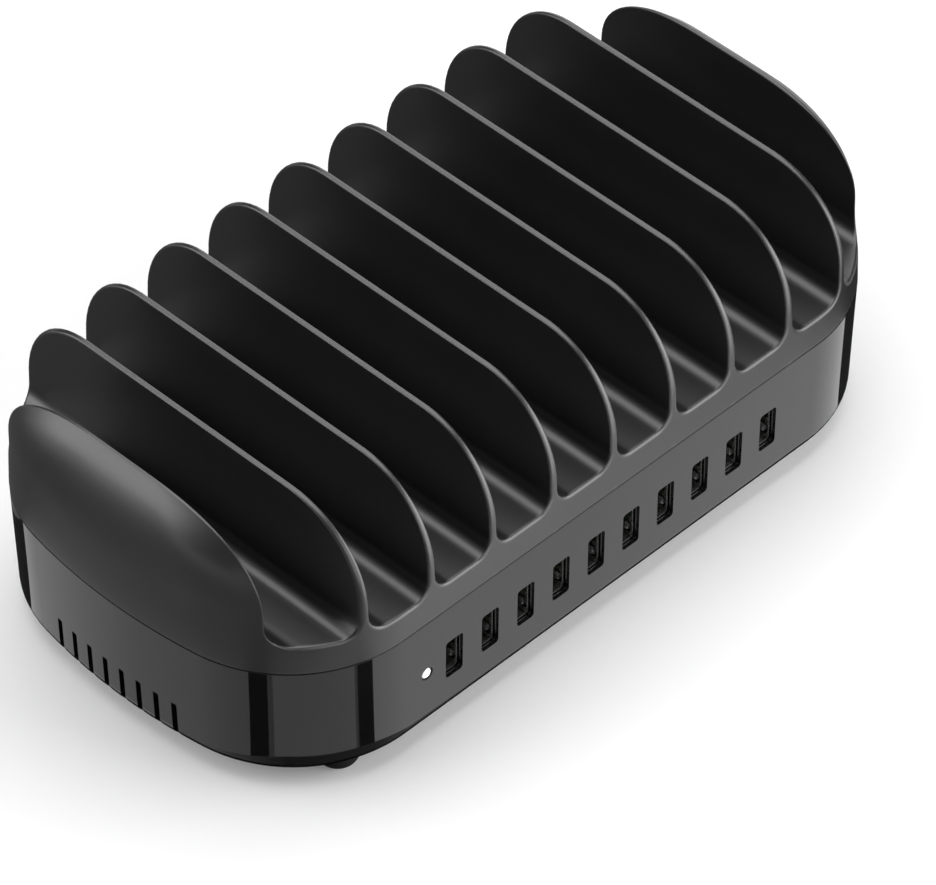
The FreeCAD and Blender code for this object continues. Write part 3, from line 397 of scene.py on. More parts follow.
# Sockets
# Ten upright sockets behind the front wall: a folded steel shell with two sprung leaves in each broad side,
# a plastic tongue and four gold strips, all soldered to the board.
SHELL_FRONT, SHELL_BACK = -67.5, -53.6
SHELL_HALF_WIDE, SHELL_HALF_TALL = 2.85, 6.55
SHELL_WALL, SHELL_CORNER = 0.35, 0.7
LEAF_Z, LEAF_HALF, LEAF_GAP, LEAF_WALL = 3.2, 1.5, 0.8, 0.25
LEAF_TIP, LEAF_ROOT, LEAF_LAP = -66.6, -61.3, 0.3
LEAF_SINK, LEAF_BULGE, BULGE_SKEW, BULGE_POWER, LEAF_NOSE = 0.05, 0.75, 1.05, 1.3, 0.02
LEAF_ACROSS, LEAF_ALONG = 6, 12
WINDOW_HALF_DEEP, WINDOW_AHEAD, WINDOW_CORNER = 0.8, 0.4, 1.3


def thicken(sheet, wall, offset):
    """Gives a sheet its wall, inside it for an offset of -1 and on both sides for 0."""
    hold(sheet)
    step = sheet.modifiers.new("wall", "SOLIDIFY")
    step.thickness, step.offset = wall * MM, offset
    bpy.ops.object.modifier_apply(modifier=step.name)


def leaf_point(side, up, i, j):
    """A point of a sprung leaf, which bulges into the socket and has a rounded tip."""
    along = j / LEAF_ALONG
    y = LEAF_ROOT + LEAF_LAP + (LEAF_TIP - LEAF_ROOT - LEAF_LAP) * along
    left = max(0.0, (y - LEAF_TIP) / LEAF_HALF)
    half = LEAF_HALF * math.sqrt(max(LEAF_NOSE, 1 - (1 - left) ** 2)) if left < 1 else LEAF_HALF
    bulge = LEAF_BULGE * math.sin(math.pi * min(1.0, along * BULGE_SKEW)) ** BULGE_POWER
    x = PORT_X[0] + side * (SHELL_HALF_WIDE - LEAF_SINK - bulge)
    return x, y, PORT_Z + up * LEAF_Z + half * (2 * i / LEAF_ACROSS - 1)


shell = add_box("socket_shell_01", (PORT_X[0] - SHELL_HALF_WIDE, SHELL_FRONT, PORT_Z - SHELL_HALF_TALL),
                (PORT_X[0] + SHELL_HALF_WIDE, SHELL_BACK, PORT_Z + SHELL_HALF_TALL))
round_edges(shell, runs_back, SHELL_CORNER, segments=5)
pick_faces(shell, lambda middle, normal: normal.y < -0.9)
bpy.ops.mesh.delete(type="FACE")
thicken(shell, SHELL_WALL, -1.0)
windows, leaves = [], []
for side in (-1, 1):
    for up in (-1, 1):
        x, z, reach = PORT_X[0] + side * SHELL_HALF_WIDE, PORT_Z + up * LEAF_Z, LEAF_HALF + LEAF_GAP
        window = add_box("window", (x - WINDOW_HALF_DEEP, LEAF_TIP - WINDOW_AHEAD, z - reach),
                         (x + WINDOW_HALF_DEEP, LEAF_ROOT, z + reach))
        round_edges(window, lambda a, b: abs(a.x - b.x) > 1 and a.y < LEAF_TIP, WINDOW_CORNER, segments=6)
        windows.append(window)
        leaf = lay_sheet("leaf", LEAF_ACROSS, LEAF_ALONG, lambda i, j: leaf_point(side, up, i, j))
        thicken(leaf, LEAF_WALL, 0.0)
        leaves.append(leaf)
combine(shell, join_pieces(windows), "DIFFERENCE")
shell = join_pieces([shell] + leaves)
close_up(shell)
smooth(shell, degrees=35)
shell.data.materials.append(plated("socket_steel", dark=(0.46, 0.46, 0.455), light=(0.54, 0.54, 0.535),
                                   patch=1.5, rough=(0.22, 0.32)))
tongue_plastic = moulded("tongue_plastic", dark=(0.030, 0.030, 0.032), light=(0.045, 0.045, 0.048), patch=2.0,
                         rough=(0.45, 0.6), grain=0.3, relief=0.1)
contact_gold = plated("contact_gold", dark=(0.70, 0.48, 0.16), light=(0.80, 0.58, 0.22), patch=1.0,
                      rough=(0.2, 0.3))
for number, x in enumerate(PORT_X, 1):
    twin = shell if number == 1 else copy_piece(shell, "socket_shell_%02d" % number, (x - PORT_X[0], 0, 0))
    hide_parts("usb_shell_%02d" % number)
    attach(twin, "station")
    dress(tongue_plastic, "usb_tongue_%02d" % number)
    dress(contact_gold, "usb_contacts_%02d" % number)

# Light
# A clear moulded pin pushed through the front wall, which carries the white light of the lamp behind it. Its
# front end is slightly rounded and shows as a bright dot left of the sockets.
LENS_RADIUS, LENS_EDGE = 1.65, 0.5
LENS_FRONT, LENS_BACK = -69.38, -66.0

lens = add_rod("light_lens", (LIGHT_X, LENS_FRONT, LIGHT_Z), (LIGHT_X, LENS_BACK, LIGHT_Z), LENS_RADIUS)
round_edges(lens, lambda a, b: max(a.y, b.y) < LENS_FRONT + 0.1, LENS_EDGE, segments=6)
smooth(lens, degrees=40)
lit_lens = moulded("lit_lens", dark=(0.80, 0.81, 0.83), light=(0.86, 0.87, 0.89), patch=0.8,
                   rough=(0.12, 0.2))
lens_shader = lit_lens.node_tree.nodes["Principled BSDF"]
lens_shader.inputs["Emission Color"].default_value = (1.0, 1.0, 1.0, 1.0)
lens_shader.inputs["Emission Strength"].default_value = 0.45
lens.data.materials.append(lit_lens)
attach(lens, "station")
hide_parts("led_light_pipe")

# Mains inlet and switch
# A two-pole appliance inlet and a rocker switch, clipped into the panel of the rear recess. Both are moulded
# in black plastic with brass pins, and keep the shapes of the solids.
dress(moulded("inlet_black", dark=(0.012, 0.012, 0.012), light=(0.018, 0.018, 0.018), patch=6.0,
              rough=(0.3, 0.42), grain=0.3, relief=0.15), "ac_inlet_body", "switch_housing")
dress(plated("pin_brass", dark=(0.60, 0.45, 0.20), light=(0.70, 0.53, 0.26), patch=1.0, rough=(0.25, 0.35)),
      "ac_inlet_pins", "switch_terminals")
dress(moulded("rocker_black", dark=(0.014, 0.014, 0.014), light=(0.020, 0.020, 0.020), patch=6.0,
              rough=(0.2, 0.3), grain=0.3, relief=0.05), "switch_rocker")

# Top cover
# One satin black moulding that stands on the housing's rim: ten U-shaped slots run from front to back between
# nine thin dividers and two rounded end walls, with every slot edge softly rounded in the mould.
COVER_FOOT = SEAM + 0.4
SLOT_PITCH = 24.02
SLOT_X = spread(10, SLOT_PITCH)
SLOT_FLOOR, SLOT_ROUND, FLOOR_HALF = 56.3, 5.5, 10.51
WALL_LEAN = 0.55 / 37.0
SHOULDER, TOP, ROOF = 65.0, 93.3, 53.8
FRONT_SHOULDER, BACK_SHOULDER, END_SHOULDER = 27.0, 23.2, 12.7
SKIRT_LEAN, CORNER_LOSS, BOW_GAIN = 0.5, 7.7, 1806.0
RIM_ROUND, RIM_SHARE, RIM_STEPS = 1.3, 0.92, 6
ARCH_STEPS, SKIRT_STEPS, FLOOR_STEPS, TURN_STEPS = 28, 14, 3, 9
EDGE_SAMPLES, HALVINGS = 800, 60
LEVEL_STEP, TOP_LEVEL, TINY, END_EASE = 0.0005, 1.9999, 0.001, 1.5
# Inset and height of each ring under the skirt: the groove at the seam, the foot of the wall, and its inside
# up to the round under the roof.
UNDER_RINGS = ((0.05, SEAM + 0.28), (0.2, SEAM + 0.22), (0.45, SEAM + 0.22), (0.45, SEAM), (WALL, SEAM),
               (WALL, ROOF - 3.0), (WALL + 1.0, ROOF - 0.8), (WALL + 3.0, ROOF))


def cover_sizes(level):
    """Height and plan sizes of the cover: level 0 to 1 is its upright skirt, 1 to 2 its rounded shoulder."""
    if level <= 1:
        return (SEAM + (SHOULDER - SEAM) * level, SEAM_LENGTH - SKIRT_LEAN * level,
                SEAM_DEPTH - SKIRT_LEAN * level, CORNER, END_BOW)
    angle = (level - 1) * math.pi / 2
    share = 1 - math.cos(angle)
    return (SHOULDER + (TOP - SHOULDER) * math.sin(angle), SEAM_LENGTH - SKIRT_LEAN - END_SHOULDER * share,
            SEAM_DEPTH - SKIRT_LEAN - (FRONT_SHOULDER + BACK_SHOULDER) / 2 * share,
            CORNER - CORNER_LOSS * share, END_BOW + BOW_GAIN * share)


def cover_level(z):
    """The level at a height."""
    if z <= SHOULDER:
        return (z - SEAM) / (SHOULDER - SEAM)
    return 1 + math.asin(min(1.0, (z - SHOULDER) / (TOP - SHOULDER))) / (math.pi / 2)


def cover_front(x, level):
    """How far forward the cover's skin is at a place along its length."""
    half_length, half_depth, corner, bow = cover_sizes(level)[1:]
    corner_x, corner_y, bow_x, turn = plan_corner(half_length, half_depth, corner, bow)
    x = abs(x)
    if x <= corner_x:
        return -half_depth
    if x <= corner_x + corner * math.cos(turn):
        return -corner_y - math.sqrt(max(0.0, corner ** 2 - (x - corner_x) ** 2))
    return -math.sqrt(max(0.0, bow ** 2 - (x - bow_x) ** 2))


def end_share(x, y, level):
    """How far round the end a point of the skin lies, from 0 at the corner's start to 1 at the middle."""
    half_length, half_depth, corner, bow = cover_sizes(level)[1:]
    corner_x, corner_y, bow_x, turn = plan_corner(half_length, half_depth, corner, bow)
    arc, rest = corner * (math.pi / 2 - turn), bow * turn
    x, y = abs(x), -abs(y)
    angle = math.atan2(y + corner_y, x - corner_x)
    if angle <= -turn:
        return corner * (angle + math.pi / 2) / (arc + rest)
    return (arc + bow * (turn - math.asin(min(1.0, -y / bow)))) / (arc + rest)


def end_point(share, level):
    """The point of the skin that lies so far round the end, on the front right quarter."""
    z, half_length, half_depth, corner, bow = cover_sizes(level)
    corner_x, corner_y, bow_x, turn = plan_corner(half_length, half_depth, corner, bow)
    arc, rest = corner * (math.pi / 2 - turn), bow * turn
    run = share * (arc + rest)
    if run <= arc:
        angle = run / corner - math.pi / 2
        return corner_x + corner * math.cos(angle), -corner_y + corner * math.sin(angle), z
    angle = (run - arc) / bow - turn
    return bow_x + bow * math.cos(angle), bow * math.sin(angle), z


def slot_half(z):
    """Half the width of a slot at a height."""
    return FLOOR_HALF + (z - SLOT_FLOOR) * WALL_LEAN


# Half of a slot's U, from the middle of its floor out to where the round runs into the leaning wall.
lean = math.atan(WALL_LEAN)
round_x = FLOOR_HALF + SLOT_ROUND * WALL_LEAN - SLOT_ROUND / math.cos(lean)
u_right = [(round_x * step / FLOOR_STEPS, SLOT_FLOOR) for step in range(FLOOR_STEPS + 1)]
for step in range(1, TURN_STEPS + 1):
    angle = -math.pi / 2 + (math.pi / 2 - lean) * step / TURN_STEPS
    u_right.append((round_x + SLOT_ROUND * math.cos(angle),
                    SLOT_FLOOR + SLOT_ROUND + SLOT_ROUND * math.sin(angle)))
u_shape = [(-x, z) for x, z in reversed(u_right[1:])] + u_right
ROUND_END = u_right[-1][1]
U_STEPS, ARCH_ROWS = len(u_shape) - 1, 2 * ARCH_STEPS


def end_room(middle, side, level):
    """How far the end of the skin stands out beyond a slot wall at a level."""
    z, half_length = cover_sizes(level)[:2]
    return half_length - abs(middle + side * slot_half(z))


def slot_edge(middle, side):
    """The edge where a slot wall meets the skin, from the front over the top to the back, evenly spaced."""
    low, high = cover_level(ROUND_END), 2.0
    if end_room(middle, side, high) < 0:
        below, above = low, high
        for step in range(HALVINGS):
            high = (below + above) / 2
            below, above = (high, above) if end_room(middle, side, high) > 0 else (below, high)
        high = below
    path = []
    for step in range(EDGE_SAMPLES + 1):
        level = low + (high - low) * math.sin(math.pi / 2 * step / EDGE_SAMPLES)
        z = cover_sizes(level)[0]
        x = middle + side * slot_half(z)
        path.append(Vector((x, cover_front(x, level), z)))
    path.append(Vector((path[-1].x, 0.0, path[-1].z)))
    runs = [0.0]
    for a, b in zip(path, path[1:]):
        runs.append(runs[-1] + (b - a).length)
    half, spot = [], 0
    for step in range(ARCH_STEPS + 1):
        goal = runs[-1] * step / ARCH_STEPS
        while spot < len(path) - 2 and runs[spot + 1] < goal:
            spot += 1
        share = (goal - runs[spot]) / max(1e-9, runs[spot + 1] - runs[spot])
        half.append(path[spot].lerp(path[spot + 1], min(1.0, share)))
    return half + [Vector((p.x, -p.y, p.z)) for p in reversed(half[:-1])]


def skin_normal(x, y, z):
    """The outward direction of the cover's skin at one of its points."""
    level = cover_level(z)
    if level > TOP_LEVEL:
        return Vector((0, 0, 1))
    low, high = max(0.0, level - LEVEL_STEP), min(2.0, level + LEVEL_STEP)
    if abs(x) <= plan_corner(*cover_sizes(level)[1:])[0]:
        rise = cover_sizes(high)[0] - cover_sizes(low)[0]
        out = Vector((0, -rise, cover_front(x, high) - cover_front(x, low)))
    else:
        share = min(1 - LEVEL_STEP, end_share(x, y, level))
        along = Vector(end_point(share + LEVEL_STEP, level)) - Vector(end_point(share - LEVEL_STEP, level))
        out = along.cross(Vector(end_point(share, high)) - Vector(end_point(share, low)))
        out.x = math.copysign(out.x, x)
    out.y = abs(out.y) if y > 0 else -abs(out.y)
    return out.normalized()


def open_way(middle, side, spot):
    """The direction from a point of a slot's edge into the open slot."""
    x, z = spot.x - middle, spot.z
    if z >= ROUND_END - TINY:
        return Vector((-side, 0, WALL_LEAN)).normalized()
    if abs(x) <= round_x + TINY:
        return Vector((0, 0, 1))
    return Vector((side * round_x - x, 0, SLOT_FLOOR + SLOT_ROUND - z)).normalized()


def rim_reach(middle, side, z):
    """How far the rim's round reaches from the sharp edge, which is less beside a thin divider."""
    beside_divider = abs(middle + side * SLOT_PITCH) < SLOT_X[-1] + TINY
    if z < ROUND_END - TINY or not beside_divider:
        return RIM_ROUND
    return min(RIM_ROUND, RIM_SHARE * (SLOT_PITCH / 2 - slot_half(z)))


def slot_mouth(middle):
    """The loop where a slot meets the skin: the front U, the right edge, the back U and the left edge. Each
    point has its place on the sharp edge, the start of the round inside the slot and its end on the skin."""
    front = [Vector((middle + x, cover_front(middle + x, cover_level(z)), z)) for x, z in u_shape]
    behind = [Vector((p.x, -p.y, p.z)) for p in reversed(front)]
    right_edge, left_edge = slot_edge(middle, 1), slot_edge(middle, -1)
    loop = front + right_edge[1:] + behind[1:] + left_edge[::-1][1:-1]
    mouth = []
    for k, spot in enumerate(loop):
        side = math.copysign(1, spot.x - middle)
        along = (loop[(k + 1) % len(loop)] - loop[k - 1]).normalized()
        free, out = open_way(middle, side, spot), skin_normal(*spot)
        inner, outer = along.cross(free).normalized(), along.cross(out).normalized()
        inner = -inner if inner.dot(out) > 0 else inner
        outer = -outer if outer.dot(free) > 0 else outer
        reach = rim_reach(middle, side, spot.z)
        mouth.append((spot, spot + inner * reach, spot + outer * reach))
    return mouth


mouths = [slot_mouth(x) for x in SLOT_X]


def mouth_spot(n, part, k):
    """The k-th point of a slot's front U, right edge, back U or left edge, from its mouth's loop."""
    start = {"front": k, "right": U_STEPS + k, "back": 2 * U_STEPS + ARCH_ROWS - k, "left": -k}[part]
    return mouths[n][start % len(mouths[n])]


def rim_point(n, i, j):
    """A point of the rounded rim between a slot's surface and the skin."""
    spot, inside, outside = mouths[n][i % len(mouths[n])]
    share = j / RIM_STEPS
    return inside * (1 - share) ** 2 + spot * 2 * share * (1 - share) + outside * share ** 2


def slot_point(n, i, j):
    """A point of a slot's own surface: its walls, rounds and floor, up to where the rim starts."""
    if i == 0:
        return mouth_spot(n, "left", j)[1]
    if i == U_STEPS + 2:
        return mouth_spot(n, "right", j)[1]
    return mouth_spot(n, "front", i - 1)[1].lerp(mouth_spot(n, "back", i - 1)[1], j / ARCH_ROWS)


def skirt_point(spot, share):
    """A point of the skin on the way straight down from a spot of the rim to the seam."""
    z = COVER_FOOT + (spot.z - COVER_FOOT) * share
    front = cover_front(spot.x, cover_level(z))
    return Vector((spot.x, front if spot.y < 0 else -front, z)) if share < 1 else spot


def divider_point(n, i, j):
    """A point of a divider's outer face, from the seam in front over its top to the seam behind."""
    row = min(max(j - SKIRT_STEPS, 0), ARCH_ROWS)
    spot = mouth_spot(n + i, "left" if i else "right", row)[2]
    down = max(SKIRT_STEPS - j, j - SKIRT_STEPS - ARCH_ROWS, 0)
    return skirt_point(spot, 1 - down / SKIRT_STEPS)


def end_wall_point(n, side, i, j):
    """A point of an end wall's rounded skin, from the seam up to the rim of the last slot."""
    part = "left" if side < 0 else "right"
    spot = mouth_spot(n, part, i)[2]
    if i in (0, ARCH_ROWS) or j == SKIRT_STEPS:
        return skirt_point(spot, j / SKIRT_STEPS)
    foot_level, level = cover_level(COVER_FOOT), cover_level(spot.z)
    first = skirt_point(mouth_spot(n, part, 0)[2], 0)
    low_share = end_share(first.x, first.y, foot_level)
    low_share += (1 - low_share) * min(i, ARCH_ROWS - i) / ARCH_STEPS
    up_share = (j / SKIRT_STEPS) ** END_EASE
    share = low_share + (end_share(spot.x, spot.y, level) - low_share) * up_share
    x, y, z = end_point(min(1.0, share), foot_level + (level - foot_level) * j / SKIRT_STEPS)
    return side * x, (-y if i > ARCH_STEPS else y), z


def inwards(x, y):
    """The direction straight in from the cover's outline at the seam."""
    corner_x, corner_y, bow_x, turn = plan_corner(SEAM_LENGTH, SEAM_DEPTH, CORNER, END_BOW)
    sx, sy = math.copysign(1, x), math.copysign(1, y)
    if abs(x) <= corner_x:
        return 0.0, -sy
    angle = math.atan2(abs(y) - corner_y, abs(x) - corner_x)
    if angle < turn:
        angle = math.atan2(abs(y), abs(x) - bow_x)
    return -sx * math.cos(angle), -sy * math.sin(angle)


patches = []
for n in range(len(SLOT_X)):
    patches.append(lay_sheet("slot", U_STEPS + 2, ARCH_ROWS, lambda i, j: slot_point(n, i, j)))
    patches.append(lay_sheet("rim", len(mouths[n]), RIM_STEPS, lambda i, j: rim_point(n, i, j)))
    for part in ("front", "back"):
        patches.append(lay_sheet("skirt", U_STEPS, SKIRT_STEPS, lambda i, j: skirt_point(
            mouth_spot(n, part, i)[2], j / SKIRT_STEPS)))
for n in range(len(SLOT_X) - 1):
    patches.append(lay_sheet("divider", 1, ARCH_ROWS + 2 * SKIRT_STEPS, lambda i, j: divider_point(n, i, j)))
for n, side in ((0, -1), (len(SLOT_X) - 1, 1)):
    patches.append(lay_sheet("end_wall", ARCH_ROWS, SKIRT_STEPS, lambda i, j: end_wall_point(n, side, i, j)))
cover = join_pieces(patches)
cover.name = cover.data.name = "slotted_cover"
pick_faces(cover, lambda middle, normal: True)
bpy.ops.mesh.remove_doubles(threshold=0.01 * MM)
bpy.ops.mesh.select_all(action="SELECT")
bpy.ops.mesh.normals_make_consistent(inside=False)

bpy.ops.mesh.select_mode(type="EDGE")
bpy.ops.mesh.select_all(action="DESELECT")
bpy.ops.mesh.select_non_manifold(extend=False, use_wire=False, use_boundary=True, use_multi_face=False,
                                 use_non_contiguous=False, use_verts=False)
inset_now = 0.0
for inset, z in UNDER_RINGS:
    bpy.ops.mesh.extrude_edges_move()
    shape = bmesh.from_edit_mesh(cover.data)
    for point in [v for v in shape.verts if v.select]:
        dx, dy = inwards(point.co.x / MM, point.co.y / MM)
        point.co.x += dx * (inset - inset_now) * MM
        point.co.y += dy * (inset - inset_now) * MM
        point.co.z = z * MM
    bmesh.update_edit_mesh(cover.data)
    inset_now = inset
bpy.ops.mesh.edge_face_add()
bpy.ops.mesh.select_all(action="SELECT")
bpy.ops.mesh.normals_make_consistent(inside=False)
alone()
# The shoulder is deeper in front than behind, so the cover leans back as it rises.
for point in cover.data.vertices:
    rise = max(0.0, point.co.z / MM - SHOULDER) / (TOP - SHOULDER)
    point.co.y += (FRONT_SHOULDER - BACK_SHOULDER) / 2 * (1 - math.sqrt(max(0.0, 1 - rise ** 2))) * MM
smooth(cover, degrees=35)

satin_black = moulded("satin_black", dark=(0.0045, 0.0045, 0.0047), light=(0.0060, 0.0060, 0.0062),
                      patch=25.0, rough=(0.33, 0.39), grain=0.25, relief=0.06)
satin_black.node_tree.nodes["Principled BSDF"].inputs["IOR"].default_value = 1.8
cover.data.materials.append(satin_black)
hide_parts("top_cover")
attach(cover, "station")

# Studio
# A pale table under three broad soft lamps, at the left, above the back and in front on the right, with the
# camera where the photograph was taken. Dark, grey and bright cards, which only mirrored rays see, lie on the
# table where the walls mirror it, and two stand round it for the rims and the ridges: they are painted
# reflections, painted highlights and, under the housing, painted shade.
TABLE_SIZE, TABLE_SEEN = 8.0, 0.15
ROOM_SEEN, ROOM_LIGHT = 0.92, 0.08
PHOTO_WIDE, FOCAL_PIXELS, SENSOR = 936, 6846.4, 36.0
TURN, RISE = math.radians(-45.24), math.radians(44.005)
AIM, AIM_RIGHT, AIM_UP, AIM_AWAY = Vector((0, -69.3, 26.0)), -41.13, 27.70, 1938.3


def seen_share(tree, seen):
    """Nodes that give a share to what the camera sees directly, and add a third input to it."""
    ray, share = tree.nodes.new("ShaderNodeLightPath"), tree.nodes.new("ShaderNodeMath")
    share.operation = "MULTIPLY_ADD"
    share.inputs[1].default_value = seen
    tree.links.new(ray.outputs["Is Camera Ray"], share.inputs[0])
    return ray, share


alone()
bpy.ops.mesh.primitive_plane_add(size=TABLE_SIZE, location=(0, 0, 0))
table = bpy.context.object
table.name = "table"
table_white = moulded("table_white", dark=(0.93, 0.93, 0.93), light=(0.95, 0.95, 0.95), patch=400.0,
                      rough=(0.9, 0.95))
tree = table_white.node_tree
tree.nodes["Principled BSDF"].inputs["Specular IOR Level"].default_value = 0.0
pale, blend = tree.nodes.new("ShaderNodeEmission"), tree.nodes.new("ShaderNodeMixShader")
ray, share = seen_share(tree, TABLE_SEEN)
tree.links.new(ray.outputs["Is Glossy Ray"], share.inputs[2])
tree.links.new(share.outputs["Value"], blend.inputs["Fac"])
tree.links.new(tree.nodes["Principled BSDF"].outputs["BSDF"], blend.inputs[1])
tree.links.new(pale.outputs["Emission"], blend.inputs[2])
tree.links.new(blend.outputs["Shader"], tree.nodes["Material Output"].inputs["Surface"])
table.data.materials.append(table_white)

room = bpy.data.worlds.new("room")
room.use_nodes = True
tree = room.node_tree
tree.nodes["Background"].inputs["Color"].default_value = (1.0, 1.0, 1.0, 1.0)
ray, share = seen_share(tree, ROOM_SEEN)
share.inputs[2].default_value = ROOM_LIGHT
tree.links.new(share.outputs["Value"], tree.nodes["Background"].inputs["Strength"])
bpy.context.scene.world = room


def softbox(name, place, aim, wide, tall, brightness):
    """A soft lamp at a place in metres, turned towards a point, of a surface brightness where 1 is white."""
    lamp = bpy.data.lights.new(name, "AREA")
    lamp.shape, lamp.size, lamp.size_y = "RECTANGLE", wide, tall
    lamp.energy = brightness * math.pi * wide * tall
    stand = bpy.data.objects.new(name, lamp)
    stand.location = place
    stand.rotation_euler = (Vector(aim) - Vector(place)).to_track_quat("-Z", "Y").to_euler()
    stand.visible_camera = False
    bpy.context.collection.objects.link(stand)


softbox("left_lamp", place=(-0.84, 0.705, 0.56), aim=(-0.05, 0, 0.07), wide=1.0, tall=0.9, brightness=2.8)
softbox("top_lamp", place=(0.22, 0.325, 1.3), aim=(0.22, 0.325, 0), wide=1.65, tall=1.35, brightness=2.7)
softbox("front_lamp", place=(0.468, -0.660, 0.40), aim=(0, -0.05, 0.40), wide=0.80, tall=0.74, brightness=4.5)

eye_back = Vector((math.sin(TURN) * math.cos(RISE), -math.cos(TURN) * math.cos(RISE), math.sin(RISE)))
eye_right = Vector((math.cos(TURN), math.sin(TURN), 0.0))
eye_up = eye_back.cross(eye_right)
eye = bpy.data.cameras.new("camera")
eye.sensor_fit, eye.sensor_width = "HORIZONTAL", SENSOR
eye.lens = FOCAL_PIXELS * SENSOR / PHOTO_WIDE
eye.clip_end = 20.0
camera = bpy.data.objects.new("camera", eye)
eye_place = (AIM + AIM_RIGHT * eye_right + AIM_UP * eye_up + AIM_AWAY * eye_back) * MM
eye_turn = Matrix((eye_right, eye_up, eye_back)).transposed().to_4x4()
camera.matrix_world = Matrix.Translation(eye_place) @ eye_turn
bpy.context.collection.objects.link(camera)
bpy.context.scene.camera = camera
bpy.context.scene.view_settings.view_transform = "Standard"

LEFT, RIGHT = -1, 1
CARD_STEPS, CURVE_STEPS = 16, 8
CARD_LIFT, FOOT_LIFT, UNDER_LIFT, STANDING_LIFT = 0.3, 0.4, 0.45, 0.5
HOUSING_TOP, COVER_LOW, COVER_BAND, FAR_TOP = 47.5, 47.6, 62.0, 500.0
UNDER_REACH, FOOT_LOW = 2.4, 0.5
BEHIND_X, BEHIND_Y, BEHIND_GREYS, BEHIND_LIFT = (-260.0, 140.0), (85.0, 245.0), (0.19, 0.08), 0.35
FRONT_RUNS, FRONT_GREYS = (73.0, 95.0, 190.0, 350.0, 900.0), (1.1, 1.9, 3.0, 3.3, 3.0)
FRONT_LEFT, FRONT_RIGHT, FRONT_ACROSS, FRONT_LIFT = (-112.0, 0.18), (72.0, 0.75), 4, 0.2


def between(pair, share):
    """The value a share of the way from the first of a pair to the second."""
    return pair[0] + (pair[1] - pair[0]) * share


def mirrored_spot(side, degrees, z):
    """Where the table shows in a wall, at a turn from the front round to the back and a height on it."""
    corner_x, corner_y, bow_x, turn = plan_corner(*housing_plan(min(z, SEAM)), CORNER, END_BOW)
    angle = math.radians(degrees)
    out = Vector((side * math.sin(angle), -math.cos(angle), 0))
    if abs(angle - math.pi / 2) < turn:
        wall = Vector((side * bow_x, 0, z)) + out * END_BOW
    else:
        wall = Vector((side * corner_x, math.copysign(corner_y, angle - math.pi / 2), z)) + out * CORNER
    way = 2 * out.dot(eye_back) * out - eye_back
    spot = wall + way * (z / -way.z)
    return Vector((spot.x, spot.y, 0))


def set_card(card, greys, lift):
    """Lifts a card off the table, gives it a grey glow at each point and hides it from all but mirrored rays:
    a painted reflection in the walls that mirror it.
    """
    grey = card.data.attributes.new("grey", "FLOAT", "POINT")
    for point, value, shade in zip(card.data.vertices, grey.data, greys):
        point.co.z += lift * MM
        value.value = shade
    mirror_glow = bpy.data.materials.new(card.name + "_paper")
    mirror_glow.use_nodes = True
    nodes, links = mirror_glow.node_tree.nodes, mirror_glow.node_tree.links
    tone, glow = nodes.new("ShaderNodeAttribute"), nodes.new("ShaderNodeEmission")
    tone.attribute_name = "grey"
    links.new(tone.outputs["Fac"], glow.inputs["Strength"])
    links.new(glow.outputs["Emission"], nodes["Material Output"].inputs["Surface"])
    card.data.materials.append(mirror_glow)
    card.visible_camera = card.visible_diffuse = card.visible_shadow = card.visible_transmission = False


def table_card(name, side, turns, low, tops, greys, lift=CARD_LIFT, along=(0, 0)):
    """A card that the walls show between two turns, from one height up to a height at each end, in two greys.
    A card for the straight front has no turn and runs along it from the corner."""
    shares = [i / CARD_STEPS for i in range(CARD_STEPS + 1)]
    card = lay_sheet(name, CARD_STEPS, 2, lambda i, j: Vector((between(along, shares[i]), 0, 0))
                     + mirrored_spot(side, between(turns, shares[i]),
                                     between((low, between(tops, shares[i])), j / 2)))
    set_card(card, [between(greys, share) for share in shares] * 3, lift)


# Painted shade: a black card under the housing and a little beyond it, which only mirrored rays see, stands
# in for the shade beneath the case in its bottom round.
under = housing_ring(-UNDER_REACH, GROUND_GAP)
alone()
bpy.ops.mesh.primitive_circle_add(vertices=len(under), radius=1.0, fill_type="NGON")
under_shade_card = bpy.context.object
under_shade_card.name = under_shade_card.data.name = "card_shade_under"
for point, (x, y, z) in zip(under_shade_card.data.vertices, under):
    point.co = Vector((x, y, 0)) * MM
set_card(under_shade_card, [0.0] * len(under), UNDER_LIFT)
# Painted reflection: a dark card behind the case, which only mirrored rays see, darkens what the backs of the
# dividers mirror.
behind_card = lay_sheet("card_behind", 1, 1, lambda i, j: (BEHIND_X[i], BEHIND_Y[j], 0))
set_card(behind_card, BEHIND_GREYS * 2, BEHIND_LIFT)

# Painted shade: the dark line along the foot of the housing, from cards that its bottom round mirrors in
# place of the shade under it.
table_card("card_foot_shade_along", LEFT, (0, 0), FOOT_LOW, (9.0, 4.0), (0.3, 0.9), FOOT_LIFT, (0, 60))
for name, turns, tops, greys in (("card_foot_shade_front", (0, 14.3), (9.0, 10.0), (0.3, 0.1)),
                                 ("card_foot_shade_corner", (14.3, 48.0), (10.0, 10.0), (0.1, 0.05)),
                                 ("card_foot_shade_end", (48.0, 84.0), (10.0, 7.0), (0.05, 0.5))):
    table_card(name, LEFT, turns, FOOT_LOW, tops, greys, FOOT_LIFT)
